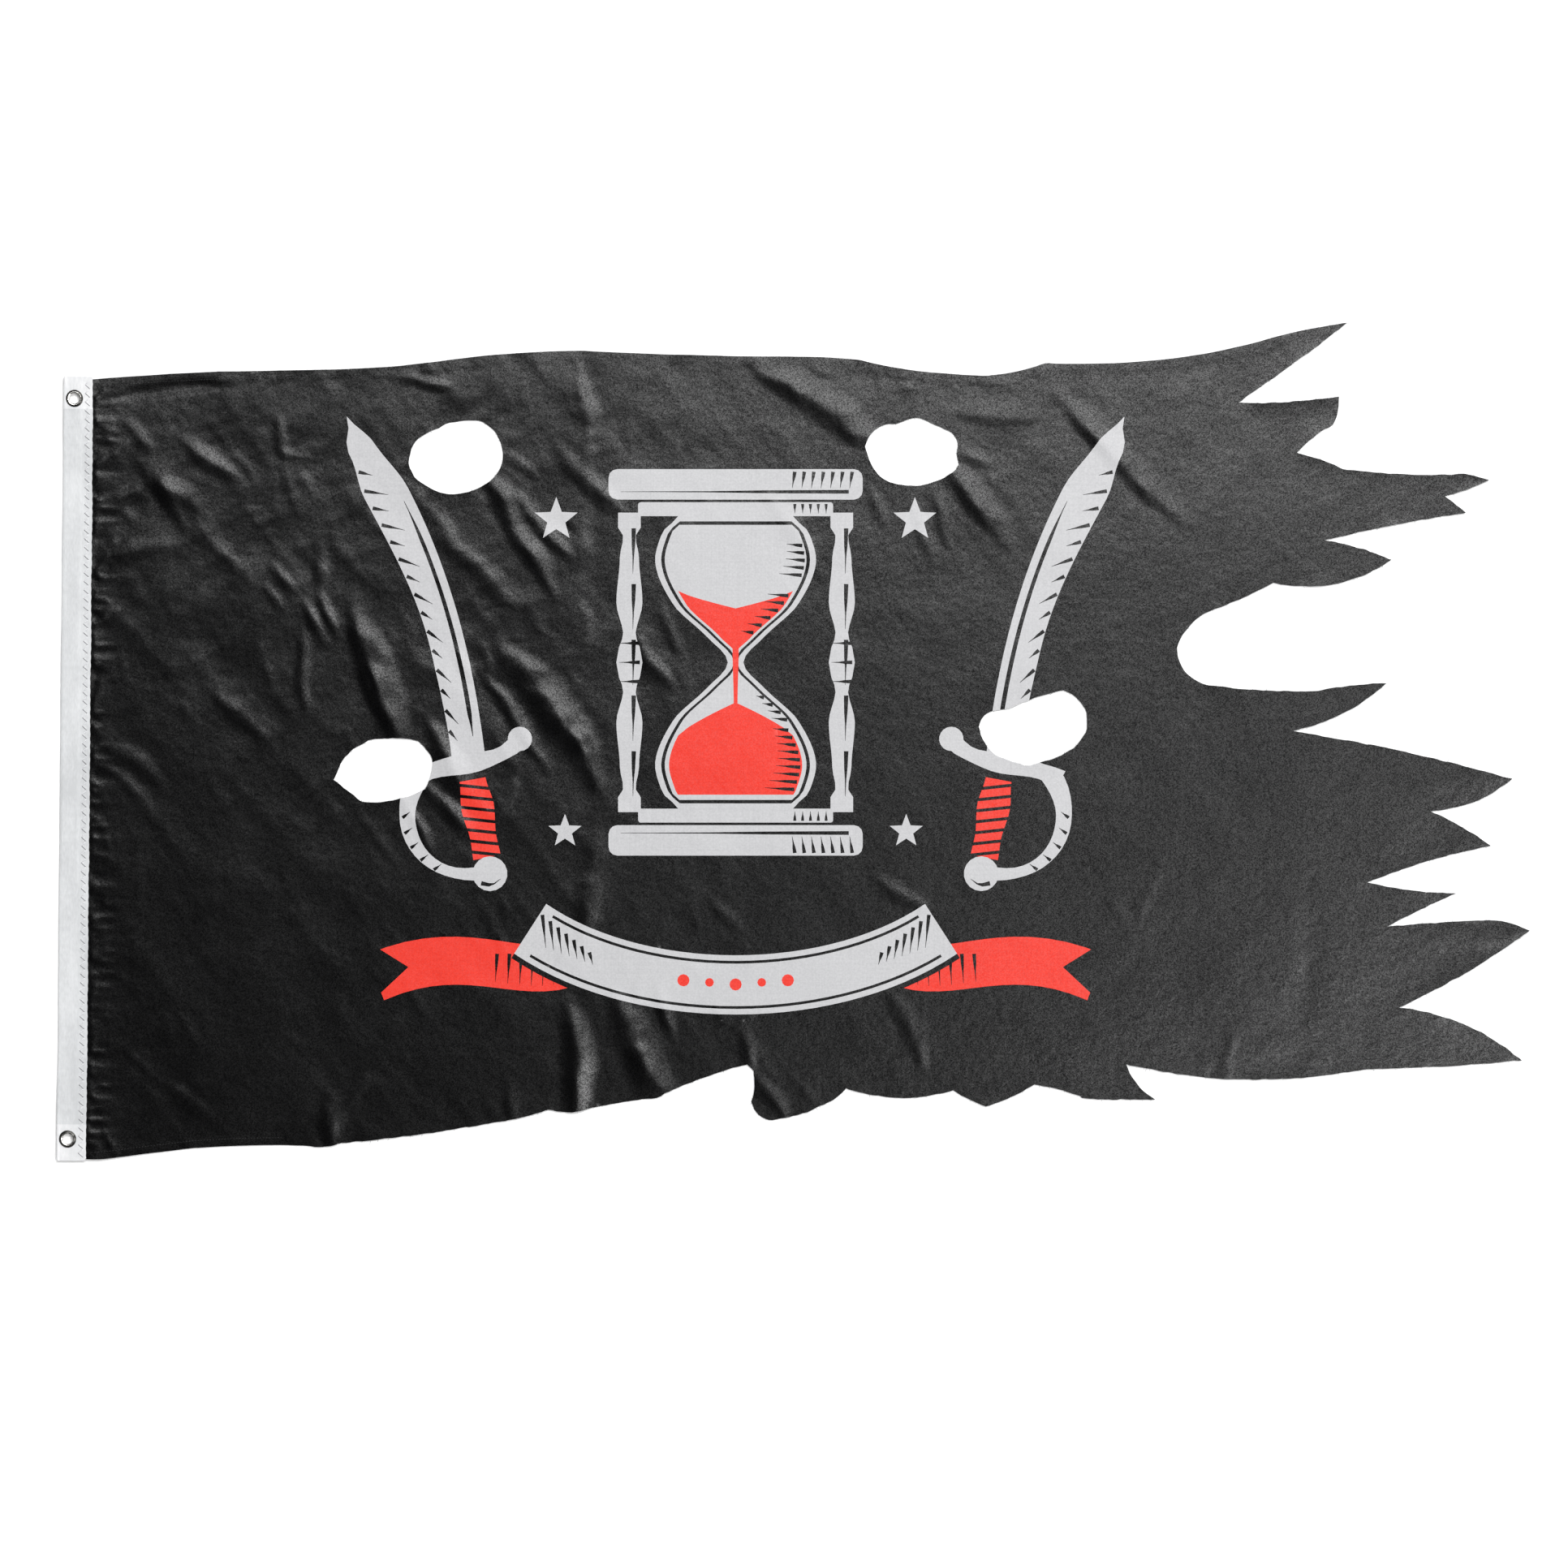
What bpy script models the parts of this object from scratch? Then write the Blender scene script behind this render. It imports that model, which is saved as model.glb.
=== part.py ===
"""A tattered flag laid out flat: torn cloth with four holes, a folded heading tape and two eyelets.

The flag lies on the surface z = 0. The fly points along +X, the flag's top along +Y, and the origin is
the middle of its outline on that surface. Lengths are metres; the tables are in millimetres, measured
from the foot of the hoist edge: x along the fly, y up the hoist.
"""

import math
from collections import namedtuple

import bmesh
import bpy
from mathutils import Vector

MM = 0.001

# Overall size of the flag as it lies, heading and longest tongue included
FLY = 1692 * MM
DROP = 962 * MM

# Cloth
CLOTH_THICK = 2.2 * MM
RIM_STEP = 12 * MM          # length of the facets along the cut edges
GRID_STEP = 10 * MM         # the cage that the folds are pressed into, before it is thinned
KEEP_SHARE = 0.063           # share of the cage's triangles kept: the flat stretches need few

# Heading: one tape, folded round the hoist edge of the cloth
HEADING_LENGTH = 900 * MM
HEADING_WIDTH = 34 * MM
HEADING_LEAN = math.radians(0.53)
TAPE_THICK = 1.0 * MM
FIT_GAP = 0.3 * MM
FOLD_STACK = 2 * TAPE_THICK + CLOTH_THICK + 2 * FIT_GAP
TUCK = 12 * MM              # how far the cloth reaches into the heading
RAMP = 55 * MM              # how far from the heading the cloth comes down to the surface
CORNER_ROUND = 3 * MM
CORNER_STEPS = 4
HEADING_ROWS = 12
TUCK_FOOT = 2 * MM          # the cloth's hoist edge stops this far short of the heading's foot
TUCK_HEAD = 4 * MM          # and this far short of its head, inside the fold
EXIT_HEAD = 3 * MM          # and this far short of its head where the cloth leaves the fold

FOLD_FADE = 0.36            # share of a fold's length over which each end dies away

# Eyelets: spool-shaped rings, clenched above and below the heading
EYELET_BORE = 6.0 * MM
EYELET_BARREL = 6.8 * MM
EYELET_FLANGE = 9.9 * MM
FLANGE_THICK = 0.8 * MM
FLANGE_ROUND = 0.3 * MM
EYELET_INSET = 13.2 * MM    # from the folded edge of the heading
EYELET_FROM_END = 25 * MM
EYELET_SEAT = FLANGE_THICK + FIT_GAP   # the lower flanges hold the heading this far off the surface
EYELET_STEPS = 28
EYELET_HOLE_SIDES = 32

# Cutters reach well past the cloth and the heading
CUTTER_HALF_HEIGHT = 40 * MM
CUTTER_SPREAD = 1 * MM

Stretch = namedtuple("Stretch", "end x y bow")
Fold = namedtuple("Fold", "name x1 y1 x2 y2 bow height half_width")

# The outline clockwise from the top of the heading. Each row is one stretch: where it ends, and how far
# its middle bows out of the cloth (inward when negative).
TOP_HEM = (
    Stretch("clear of the heading", 196, 906, 1),
    Stretch("level run", 311, 908, 0),
    Stretch("first rise", 457, 920, -2.5),
    Stretch("crest", 606, 929.5, 2.5),
    Stretch("long dip", 849, 923, -1.5),
    Stretch("falling away", 923, 919, 1),
    Stretch("slack", 1011, 904.5, -2),
    Stretch("lowest point", 1063, 901, 0),
    Stretch("second rise", 1136, 915.5, -3),
    Stretch("shelf", 1240, 917, -1.5),
    Stretch("climb to the fly", 1380, 940, -3.5),
)
FLY_TEARS = (
    Stretch("tongue 1 tip", 1482.5, 962, 2),
    Stretch("tear 1", 1357, 870, 1.5),
    Stretch("tongue 2 upper corner", 1473, 877, -2.5),
    Stretch("tongue 2 lower corner", 1466, 845, 2.5),
    Stretch("tear 2", 1425, 812.5, -2),
    Stretch("tongue 3 shoulder", 1478, 794, 1.5),
    Stretch("tongue 3 neck", 1618, 788, -3),
    Stretch("tongue 3 tip", 1646, 781.5, 0),
    Stretch("nick", 1594, 763, 2),
    Stretch("tongue 3 lower tip", 1619, 743.5, 0),
    Stretch("tear 3", 1457, 712, -2),
    Stretch("tongue 4 tip", 1533.5, 689.5, 2.5),
    Stretch("tongue 4 belly", 1398, 663, 14.5),
    Stretch("bay shoulder", 1318, 628, 1.5),
    Stretch("bay head", 1287, 589, -4),
    Stretch("bay foot", 1328, 545, -12),
    Stretch("tongue 5 neck", 1444, 538.5, -2),
    Stretch("tongue 5 tip", 1528, 548, 1.5),
    Stretch("tear 5", 1419, 493, 8.5),
    Stretch("tongue 6 tip", 1672, 438, 4),
    Stretch("tear 6", 1579, 400.5, 8),
    Stretch("tongue 7 tip", 1648, 361, 2),
    Stretch("tear 7", 1506, 319, -3.5),
    Stretch("tongue 8 tip", 1608, 306.5, -3),
    Stretch("tear 8", 1528, 268, -1),
    Stretch("tongue 9 shoulder", 1645, 275.5, 1),
    Stretch("tongue 9 tip", 1692, 263.5, 3),
    Stretch("tear 9", 1542, 175, 4.5),
    Stretch("tongue 10 tip", 1683, 114.5, 12),
)
FOOT_TEARS = (
    Stretch("straight run", 1506, 104.5, 2),
    Stretch("sag", 1336, 93.5, 5),
    Stretch("tear 10", 1228.5, 110, 2),
    Stretch("tongue 11 tip", 1262, 69.5, -4.5),
    Stretch("tongue 11 foot", 1187, 70, 0),
    Stretch("small rise", 1123, 87, -1.5),
    Stretch("scallop 1", 1067.5, 61.5, 2.5),
    Stretch("scallop end", 1030, 80, 1),
    Stretch("scallop 2", 907, 82, 9.5),
    Stretch("lobe shoulder", 881, 64, 2),
    Stretch("lobe", 822.5, 46, 3),
    Stretch("lobe side", 798, 67, 6),
    Stretch("lobe neck", 801, 103, -2),
    Stretch("tear 11", 793.5, 110, 0),
    Stretch("worn run", 689, 71.5, -3),
    Stretch("second worn run", 593, 54.5, -2),
    Stretch("step", 565, 57.5, 0.5),
    Stretch("third worn run", 496, 42, 1.5),
    Stretch("fourth worn run", 327, 19.5, 2),
    Stretch("foot hem starts", 286, 16.5, 3),
    Stretch("foot hem", 151, 13, -2),
    Stretch("foot hem by the heading", 55, 1.5, 0),
    Stretch("foot corner", 31, 1.2, 0),
)

# The holes' outlines, clockwise too. Each starts where its last stretch ends, and bows into the cloth.
HOLES = {
    "upper left": (
        Stretch("left shoulder", 430, 837.5, 6),
        Stretch("dip", 447, 845.5, -0.5),
        Stretch("top", 486, 849, 2),
        Stretch("right shoulder", 505, 834, 2),
        Stretch("right side", 513, 812, 1.5),
        Stretch("lower right", 498, 780, 4.5),
        Stretch("foot", 456, 765, 3.5),
        Stretch("lower left", 411, 785, 5),
        Stretch("left side", 405, 806, 2),
    ),
    "upper right": (
        Stretch("left shoulder", 949, 844, 4),
        Stretch("dip", 964, 845.5, 0.5),
        Stretch("peak", 990.5, 852.5, 1.5),
        Stretch("upper right corner", 1029.5, 835.5, 0.5),
        Stretch("right side", 1034, 812, 3),
        Stretch("lower right corner", 1037, 799.5, 0),
        Stretch("lower right", 1020, 784.5, 2),
        Stretch("foot", 971, 776, 4.8),
        Stretch("lower left", 938.5, 794, 4.5),
        Stretch("left side", 929, 820, 1),
    ),
    "lower left": (
        Stretch("over the point", 328.5, 458.5, 0),
        Stretch("upper left", 350, 477.5, 2),
        Stretch("top", 366, 483.5, 1),
        Stretch("upper right corner", 415, 482.5, 1.5),
        Stretch("notch", 422, 474.5, 0),
        Stretch("right side", 431.5, 459, 1.5),
        Stretch("lower right", 423, 425.5, 2.5),
        Stretch("foot", 371, 411, 2.5),
        Stretch("lower left", 350, 412.5, 1),
        Stretch("point", 318.5, 437, 0.5),
    ),
    "lower right": (
        Stretch("upper left", 1073.5, 515, 3),
        Stretch("foot of the slant", 1094, 519, 0),
        Stretch("head of the slant", 1157.5, 540, 2),
        Stretch("upper right", 1182, 518, 3),
        Stretch("right side", 1182, 491, 2),
        Stretch("lower right", 1148, 462.5, 4.5),
        Stretch("foot", 1118, 453, 0),
        Stretch("lower left", 1079, 465.5, 1.5),
        Stretch("left side", 1059.5, 498, 3.5),
    ),
}

# The main folds: ridges from one end to the other, bowed to the left of their run when bow is positive
FOLDS = (
    Fold("top fold", 776, 975, 945, 812, 6, 7.5, 27),
    Fold("crease under the top hem", 606, 990, 610, 752, -3, 3, 19),
    Fold("crease's turn", 604, 810, 650, 712, 6, 3, 18),
    Fold("fold at the upper right hole", 1018, 806, 1098, 712, 4, 4.5, 20),
    Fold("short fold over that hole", 1026, 864, 1128, 850, 4, 3, 17),
    Fold("fly fold", 1150, 872, 1300, 732, 6, 6.5, 25),
    Fold("fold under the upper left hole", 482, 800, 576, 650, 10, 6.5, 23),
    Fold("soft fold beside it", 436, 764, 568, 632, 8, 3, 25),
    Fold("fold over the lower left hole", 324, 634, 414, 470, 10, 7, 25),
    Fold("long middle fold", 510, 588, 648, 432, 13, 4.5, 27),
    Fold("thin middle fold", 480, 610, 592, 432, 0, 4.5, 17),
    Fold("fold by the lower left hole", 442, 502, 518, 392, 0, 4, 19),
    Fold("fold below that hole", 350, 436, 390, 336, 0, 4, 17),
    Fold("upright lower fold", 632, 364, 602, 208, -4, 4.5, 24),
    Fold("foot fold", 578, 190, 612, 4, -2, 7, 23),
    Fold("slanting foot fold", 626, 182, 744, 44, 0, 6, 20),
    Fold("lobe's fold", 798, 128, 852, 18, 0, 4.5, 15),
    Fold("left edge fold", 20, 476, 126, 416, 24, 5, 21),
    Fold("long left fold", 250, 718, 90, 532, 10, 4, 25),
    Fold("upper left fold", 20, 734, 140, 796, 0, 4, 21),
    Fold("hanging left fold", 252, 868, 330, 590, -14, 3.5, 25),
    Fold("foot corner fold", 74, 144, 216, 18, 0, 4, 27),
    Fold("short foot fold", 330, 88, 318, -20, 0, 4, 17),
    Fold("fold by tear 9", 1454, 222, 1418, 132, 0, 3.5, 21),
    Fold("lower fly fold", 1362, 170, 1328, 52, 0, 3.5, 19),
    Fold("lifted tongue 6", 1560, 442, 1760, 424, 0, 4.5, 32),
    Fold("lifted tongue 9", 1600, 256, 1770, 262, 0, 4.5, 32),
    Fold("lifted tongue 3", 1530, 776, 1730, 782, 0, 3.5, 25),
)


def clear_scene():
    for obj in list(bpy.data.objects):
        bpy.data.objects.remove(obj, do_unlink=True)


def new_collection(name):
    collection = bpy.data.collections.new(name)
    bpy.context.scene.collection.children.link(collection)
    return collection


def material(name, colour, roughness, metallic=0.0):
    mat = bpy.data.materials.new(name)
    mat.use_nodes = True
    shader = mat.node_tree.nodes["Principled BSDF"]
    shader.inputs["Base Color"].default_value = (*colour, 1.0)
    shader.inputs["Roughness"].default_value = roughness
    shader.inputs["Metallic"].default_value = metallic
    return mat


def add_object(name, data, collection, mat=None):
    obj = bpy.data.objects.new(name, data)
    if mat is not None:
        data.materials.append(mat)
    collection.objects.link(obj)
    return obj


def as_cutter(obj):
    obj.hide_render = True
    obj.display_type = "WIRE"
    return obj


def placed(x_mm, y_mm):
    """A place in the tables, in the part's own frame."""
    return Vector((x_mm * MM - FLY / 2, y_mm * MM - DROP / 2))


def smooth_step(value):
    value = min(max(value, 0.0), 1.0)
    return value * value * (3 - 2 * value)


# ---- the heading's own frame: u across the tape from its folded edge, v up from its foot ----

def heading_point(u, v):
    cos, sin = math.cos(HEADING_LEAN), math.sin(HEADING_LEAN)
    foot = placed(0, 0)
    return Vector((foot.x + u * cos + v * sin, foot.y - u * sin + v * cos))


def across_heading(x, y):
    """The u of a place: its distance across the tape from the folded edge."""
    offset = Vector((x, y)) - placed(0, 0)
    return offset.x * math.cos(HEADING_LEAN) - offset.y * math.sin(HEADING_LEAN)


def eyelet_stations():
    return {"eyelet_lower": EYELET_FROM_END, "eyelet_upper": HEADING_LENGTH - EYELET_FROM_END}


# ---- the cloth's outline ----

def stretch_points(start, row):
    """Points after start along one stretch of the outline, a shallow arc."""
    end = placed(row.x, row.y)
    chord = end - start
    outward = Vector((-chord.y, chord.x)).normalized()
    count = max(1, math.ceil(chord.length / RIM_STEP))
    points = []
    for index in range(1, count + 1):
        t = index / count
        points.append(start + chord * t + outward * (4 * row.bow * MM * t * (1 - t)))
    return points


def cloth_outline():
    tuck_u = HEADING_WIDTH - TUCK
    points = [heading_point(tuck_u, TUCK_FOOT), heading_point(tuck_u, HEADING_LENGTH - TUCK_HEAD)]
    points.append(heading_point(HEADING_WIDTH, HEADING_LENGTH - EXIT_HEAD))
    for row in TOP_HEM + FLY_TEARS + FOOT_TEARS:
        points.extend(stretch_points(points[-1], row))
    return points


def hole_outline(stretches):
    last = stretches[-1]
    points = [placed(last.x, last.y)]
    for row in stretches:
        points.extend(stretch_points(points[-1], row))
    return points[1:]


def prism_from_loops(name, loops, collection):
    """A closed upright prism on a flat outline; later loops are holes in the first."""
    curve = bpy.data.curves.new(name, "CURVE")
    curve.dimensions = "2D"
    curve.fill_mode = "BOTH"
    curve.extrude = CUTTER_HALF_HEIGHT
    for loop in loops:
        spline = curve.splines.new("POLY")
        spline.points.add(len(loop) - 1)
        for point, place in zip(spline.points, loop):
            point.co = (place.x, place.y, 0.0, 1.0)
        spline.use_cyclic_u = True
    guide = add_object(name + "_curve", curve, collection)
    bpy.context.view_layer.update()
    evaluated = guide.evaluated_get(bpy.context.evaluated_depsgraph_get())
    mesh = bpy.data.meshes.new_from_object(evaluated)
    bpy.data.objects.remove(guide, do_unlink=True)
    bm = bmesh.new()
    bm.from_mesh(mesh)
    bmesh.ops.remove_doubles(bm, verts=bm.verts, dist=0.00001)
    bmesh.ops.recalc_face_normals(bm, faces=bm.faces)
    bm.to_mesh(mesh)
    bm.free()
    return as_cutter(add_object(name, mesh, collection))


def cut(obj, operation, cutter):
    modifier = obj.modifiers.new(operation.lower(), "BOOLEAN")
    modifier.operation = operation
    modifier.solver = "EXACT"
    modifier.object = cutter


# ---- the cloth's heights ----

def fold_height(fold, x, y):
    """One fold: a rounded ridge that dies away at both ends."""
    start = placed(fold.x1, fold.y1)
    run = placed(fold.x2, fold.y2) - start
    along = run.normalized()
    offset = Vector((x, y)) - start
    t = offset.dot(along) / run.length
    if not 0 < t < 1:
        return 0.0
    sideways = along.x * offset.y - along.y * offset.x - 4 * fold.bow * MM * t * (1 - t)
    share = abs(sideways) / (fold.half_width * MM)
    if share >= 1:
        return 0.0
    ends = smooth_step(t / FOLD_FADE) * smooth_step((1 - t) / FOLD_FADE)
    return fold.height * MM * math.cos(share * math.pi / 2) ** 2 * ends


def cloth_height(x, y):
    """Height of the cloth's underside."""
    u = across_heading(x, y)
    clear = smooth_step((u - HEADING_WIDTH) / RAMP)
    inside = EYELET_SEAT + TAPE_THICK + FIT_GAP
    ridges = sum(fold_height(fold, x, y) for fold in FOLDS)
    return inside * (1 - clear) + ridges * clear


def make_cloth(collection, cutters):
    margin = 3 * GRID_STEP
    columns = round((FLY + 2 * margin) / GRID_STEP)
    rows = round((DROP + 2 * margin) / GRID_STEP)
    bm = bmesh.new()
    bmesh.ops.create_grid(bm, x_segments=columns, y_segments=rows, size=0.5)
    for vert in bm.verts:
        vert.co.x *= FLY + 2 * margin
        vert.co.y *= DROP + 2 * margin
        vert.co.z = cloth_height(vert.co.x, vert.co.y)
    mesh = bpy.data.meshes.new("flag_cloth")
    bm.to_mesh(mesh)
    bm.free()
    cloth = add_object("flag_cloth", mesh, collection,
                       material("black polyester", (0.02, 0.02, 0.022), 0.7))
    thin_out = cloth.modifiers.new("thin out", "DECIMATE")
    thin_out.ratio = KEEP_SHARE
    solidify = cloth.modifiers.new("thickness", "SOLIDIFY")
    solidify.thickness = CLOTH_THICK
    solidify.offset = 1.0
    loops = [cloth_outline()] + [hole_outline(stretches) for stretches in HOLES.values()]
    cut(cloth, "INTERSECT", prism_from_loops("cloth_outline", loops, cutters))
    return cloth


# ---- heading ----

def fold_path(share):
    """The tape's outer side across the fold: under from the open edge, round, and back over."""
    radius = FOLD_STACK / 2
    flat = HEADING_WIDTH - radius
    bend = math.pi * radius
    distance = share * (2 * flat + bend)
    if distance < flat:
        return HEADING_WIDTH - distance, 0.0
    if distance < flat + bend:
        angle = (distance - flat) / radius
        return radius - radius * math.sin(angle), radius - radius * math.cos(angle)
    return radius + distance - flat - bend, FOLD_STACK


def tape_shares():
    """Where the tape's cage has its columns: few on the flats, close together round the fold."""
    radius = FOLD_STACK / 2
    flat = HEADING_WIDTH - radius
    bend = math.pi * radius
    total = 2 * flat + bend
    on_flat = [flat * i / 3 for i in range(3)]
    round_fold = [flat + bend * i / 6 for i in range(7)]
    back = [flat + bend + flat * i / 3 for i in range(1, 4)]
    return [distance / total for distance in on_flat + round_fold + back]


def make_heading(collection, cutters):
    shares = tape_shares()
    bm = bmesh.new()
    bmesh.ops.create_grid(bm, x_segments=len(shares) - 1, y_segments=HEADING_ROWS, size=0.5)
    for vert in bm.verts:
        column = round((vert.co.x + 0.5) * (len(shares) - 1))
        v = (vert.co.y + 0.5) * HEADING_LENGTH
        u, z = fold_path(shares[column])
        place = heading_point(u, v)
        vert.co = Vector((place.x, place.y, z + EYELET_SEAT))
    mesh = bpy.data.meshes.new("heading_tape")
    bm.to_mesh(mesh)
    bm.free()
    heading = add_object("heading_tape", mesh, collection,
                         material("white tape", (0.86, 0.86, 0.84), 0.75))
    solidify = heading.modifiers.new("thickness", "SOLIDIFY")
    solidify.thickness = TAPE_THICK
    solidify.offset = -1.0
    cut(heading, "INTERSECT", heading_corners(cutters))
    for name, v in eyelet_stations().items():
        cut(heading, "DIFFERENCE", eyelet_hole(name + "_hole", v, cutters))
    return heading


def heading_corners(cutters):
    """A prism with the heading's outline, its four corners rounded off."""
    centres = (
        (HEADING_WIDTH - CORNER_ROUND, CORNER_ROUND, -90),
        (HEADING_WIDTH - CORNER_ROUND, HEADING_LENGTH - CORNER_ROUND, 0),
        (CORNER_ROUND, HEADING_LENGTH - CORNER_ROUND, 90),
        (CORNER_ROUND, CORNER_ROUND, 180),
    )
    points = []
    for u, v, first_deg in centres:
        # past the folded edge and the open edge, which stay as the tape has them
        outward = CUTTER_SPREAD if u > HEADING_WIDTH / 2 else -CUTTER_SPREAD
        for step in range(CORNER_STEPS + 1):
            angle = math.radians(first_deg + 90 * step / CORNER_STEPS)
            points.append(heading_point(u + outward + CORNER_ROUND * math.cos(angle),
                                        v + CORNER_ROUND * math.sin(angle)))
    return prism_from_loops("heading_outline", [points], cutters)


def eyelet_hole(name, v, cutters):
    place = heading_point(EYELET_INSET, v)
    bpy.ops.mesh.primitive_cylinder_add(vertices=EYELET_HOLE_SIDES, radius=EYELET_BARREL + FIT_GAP,
                                        depth=2 * CUTTER_HALF_HEIGHT, location=(place.x, place.y, 0))
    cutter = bpy.context.object
    cutter.name = name
    for owner in list(cutter.users_collection):
        owner.objects.unlink(cutter)
    cutters.objects.link(cutter)
    return as_cutter(cutter)


# ---- eyelets ----

def eyelet_profile():
    """Half of the spool's section, from the top of its outer side down and back up the bore."""
    top = EYELET_SEAT + FOLD_STACK + FIT_GAP + FLANGE_THICK
    upper = top - FLANGE_THICK
    r, e = EYELET_FLANGE, FLANGE_ROUND
    return (
        (r - e, top), (r, top - e), (r, upper + e / 2), (r - e, upper),
        (EYELET_BARREL, upper), (EYELET_BARREL, FLANGE_THICK),
        (r - e, FLANGE_THICK), (r, FLANGE_THICK - e / 2), (r, e), (r - e, 0),
        (EYELET_BORE + e, 0), (EYELET_BORE, e), (EYELET_BORE, top - e), (EYELET_BORE + e, top),
    )


def make_eyelet(name, v, collection, mat):
    profile = eyelet_profile()
    bm = bmesh.new()
    verts = [bm.verts.new((radius, 0, height)) for radius, height in profile]
    for index, vert in enumerate(verts):
        bm.edges.new((vert, verts[(index + 1) % len(verts)]))
    mesh = bpy.data.meshes.new(name)
    bm.to_mesh(mesh)
    bm.free()
    eyelet = add_object(name, mesh, collection, mat)
    place = heading_point(EYELET_INSET, v)
    eyelet.location = (place.x, place.y, 0)
    turn = eyelet.modifiers.new("turn", "SCREW")
    turn.steps = EYELET_STEPS
    turn.render_steps = EYELET_STEPS
    turn.use_merge_vertices = True
    turn.merge_threshold = 0.00001
    turn.use_smooth_shade = True
    return eyelet


def main():
    clear_scene()
    parts = new_collection("tattered_flag")
    cutters = new_collection("cutters")
    make_cloth(parts, cutters)
    make_heading(parts, cutters)
    nickel = material("nickel", (0.72, 0.71, 0.69), 0.28, metallic=1.0)
    for name, v in eyelet_stations().items():
        make_eyelet(name, v, parts, nickel)


main()
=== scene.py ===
"""A tattered flag as it lies on a pale floor, seen from straight above.

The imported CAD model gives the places: the cloth's torn outline and its holes are read from the
node flag_cloth, and everything else is set out from the low corner of the node heading_tape. The
tables are in millimetres from that corner: x along the fly, y up the hoist. Objects are in metres,
in the CAD's frame.
"""

import math
from collections import namedtuple

import bmesh
import bpy
import numpy as np
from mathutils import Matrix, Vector, geometry, kdtree

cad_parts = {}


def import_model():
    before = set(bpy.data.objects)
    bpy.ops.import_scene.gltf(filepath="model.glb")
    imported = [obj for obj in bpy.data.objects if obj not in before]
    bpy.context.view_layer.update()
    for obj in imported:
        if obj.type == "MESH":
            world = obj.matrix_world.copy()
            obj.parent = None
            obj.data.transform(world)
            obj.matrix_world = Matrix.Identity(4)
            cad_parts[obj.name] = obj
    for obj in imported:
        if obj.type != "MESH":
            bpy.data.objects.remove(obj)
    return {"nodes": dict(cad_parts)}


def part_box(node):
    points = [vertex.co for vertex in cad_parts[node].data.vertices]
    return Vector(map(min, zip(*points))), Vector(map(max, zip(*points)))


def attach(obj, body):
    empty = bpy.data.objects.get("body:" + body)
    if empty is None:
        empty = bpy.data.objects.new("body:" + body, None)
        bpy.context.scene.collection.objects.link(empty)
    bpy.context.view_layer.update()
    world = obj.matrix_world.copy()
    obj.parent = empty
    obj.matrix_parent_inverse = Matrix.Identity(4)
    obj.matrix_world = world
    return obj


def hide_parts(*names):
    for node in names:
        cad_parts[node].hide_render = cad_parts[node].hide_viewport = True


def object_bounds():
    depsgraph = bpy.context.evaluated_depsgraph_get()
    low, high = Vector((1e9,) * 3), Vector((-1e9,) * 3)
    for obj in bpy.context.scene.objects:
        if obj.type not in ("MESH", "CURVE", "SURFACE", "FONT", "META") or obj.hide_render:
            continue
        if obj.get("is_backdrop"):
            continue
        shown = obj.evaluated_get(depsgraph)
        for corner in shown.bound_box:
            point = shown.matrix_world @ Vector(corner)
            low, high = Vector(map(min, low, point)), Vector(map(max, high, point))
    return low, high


MM = 0.001

# Heading, as in the CAD model
HEADING_LENGTH = 900
HEADING_WIDTH = 34
HEADING_LEAN = math.radians(0.53)
LEAN_COS, LEAN_SIN = math.cos(HEADING_LEAN), math.sin(HEADING_LEAN)
TUCK = 12
RAMP = 55
EYELET_INSET = 13.2
EYELET_STATIONS = (25, 875)
EYELET_TOP = 7.0
EYELET_BORE = 6.0
EYELET_FLANGE = 9.9
EYELET_BARREL = 6.8
# radius past which the eyelet is painted near-black, as painted shade and dark reflection
EYELET_PAINTED_SHADE_FROM = 7.6
EYELET_SEATS = (1.0, 5.9)
EYELET_LIP = 0.1
RIM_POINTS = 10
RING_STEPS = 72
PUNCH_SIDES = 40
PUNCH_ROOM = 0.2
PUNCH_DEPTH = 40

# The heading as seen: how its middle plane and its two layers lie, and its sewing
TAPE_THICK = 0.8
HELD_LEVEL = 14
HELD_RAMP = 80
MIDDLE_AT_END = 3.5
MIDDLE_BETWEEN = 1.6
HALF_GAP_AT_END = 1.25
HALF_GAP_BETWEEN = 0.7
HALF_GAP_SEWN = 0.55
SEWN_FROM = 20.5
TURN_IN = (41, 37)
TURN_IN_RISE = 0.5
SEAM_U = 28
SEAM_HALF_WIDTH = 2.8
SEAM_PITCH = 9.8
SEAM_DEPTH = 0.5
SEAM_START = 4
SEAM_SHARES = (0.0, 0.12, 0.5, 0.88)
SEAM_DIPS = (0.5, 0.0, -0.1, 0.0)
THREAD_RADIUS = 0.45
THREAD_SIDES = 6
TAPE_STEP = 1.6
TAPE_COLUMNS = 26
TAPE_TURN_POINTS = 9
TAPE_CORNER = 3.0
TAPE_LIFT = 0.03
# How far along the hoist the upper layer reads its unevenness, so that it isn't the lower one's
UPPER_SHIFT = 500

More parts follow.
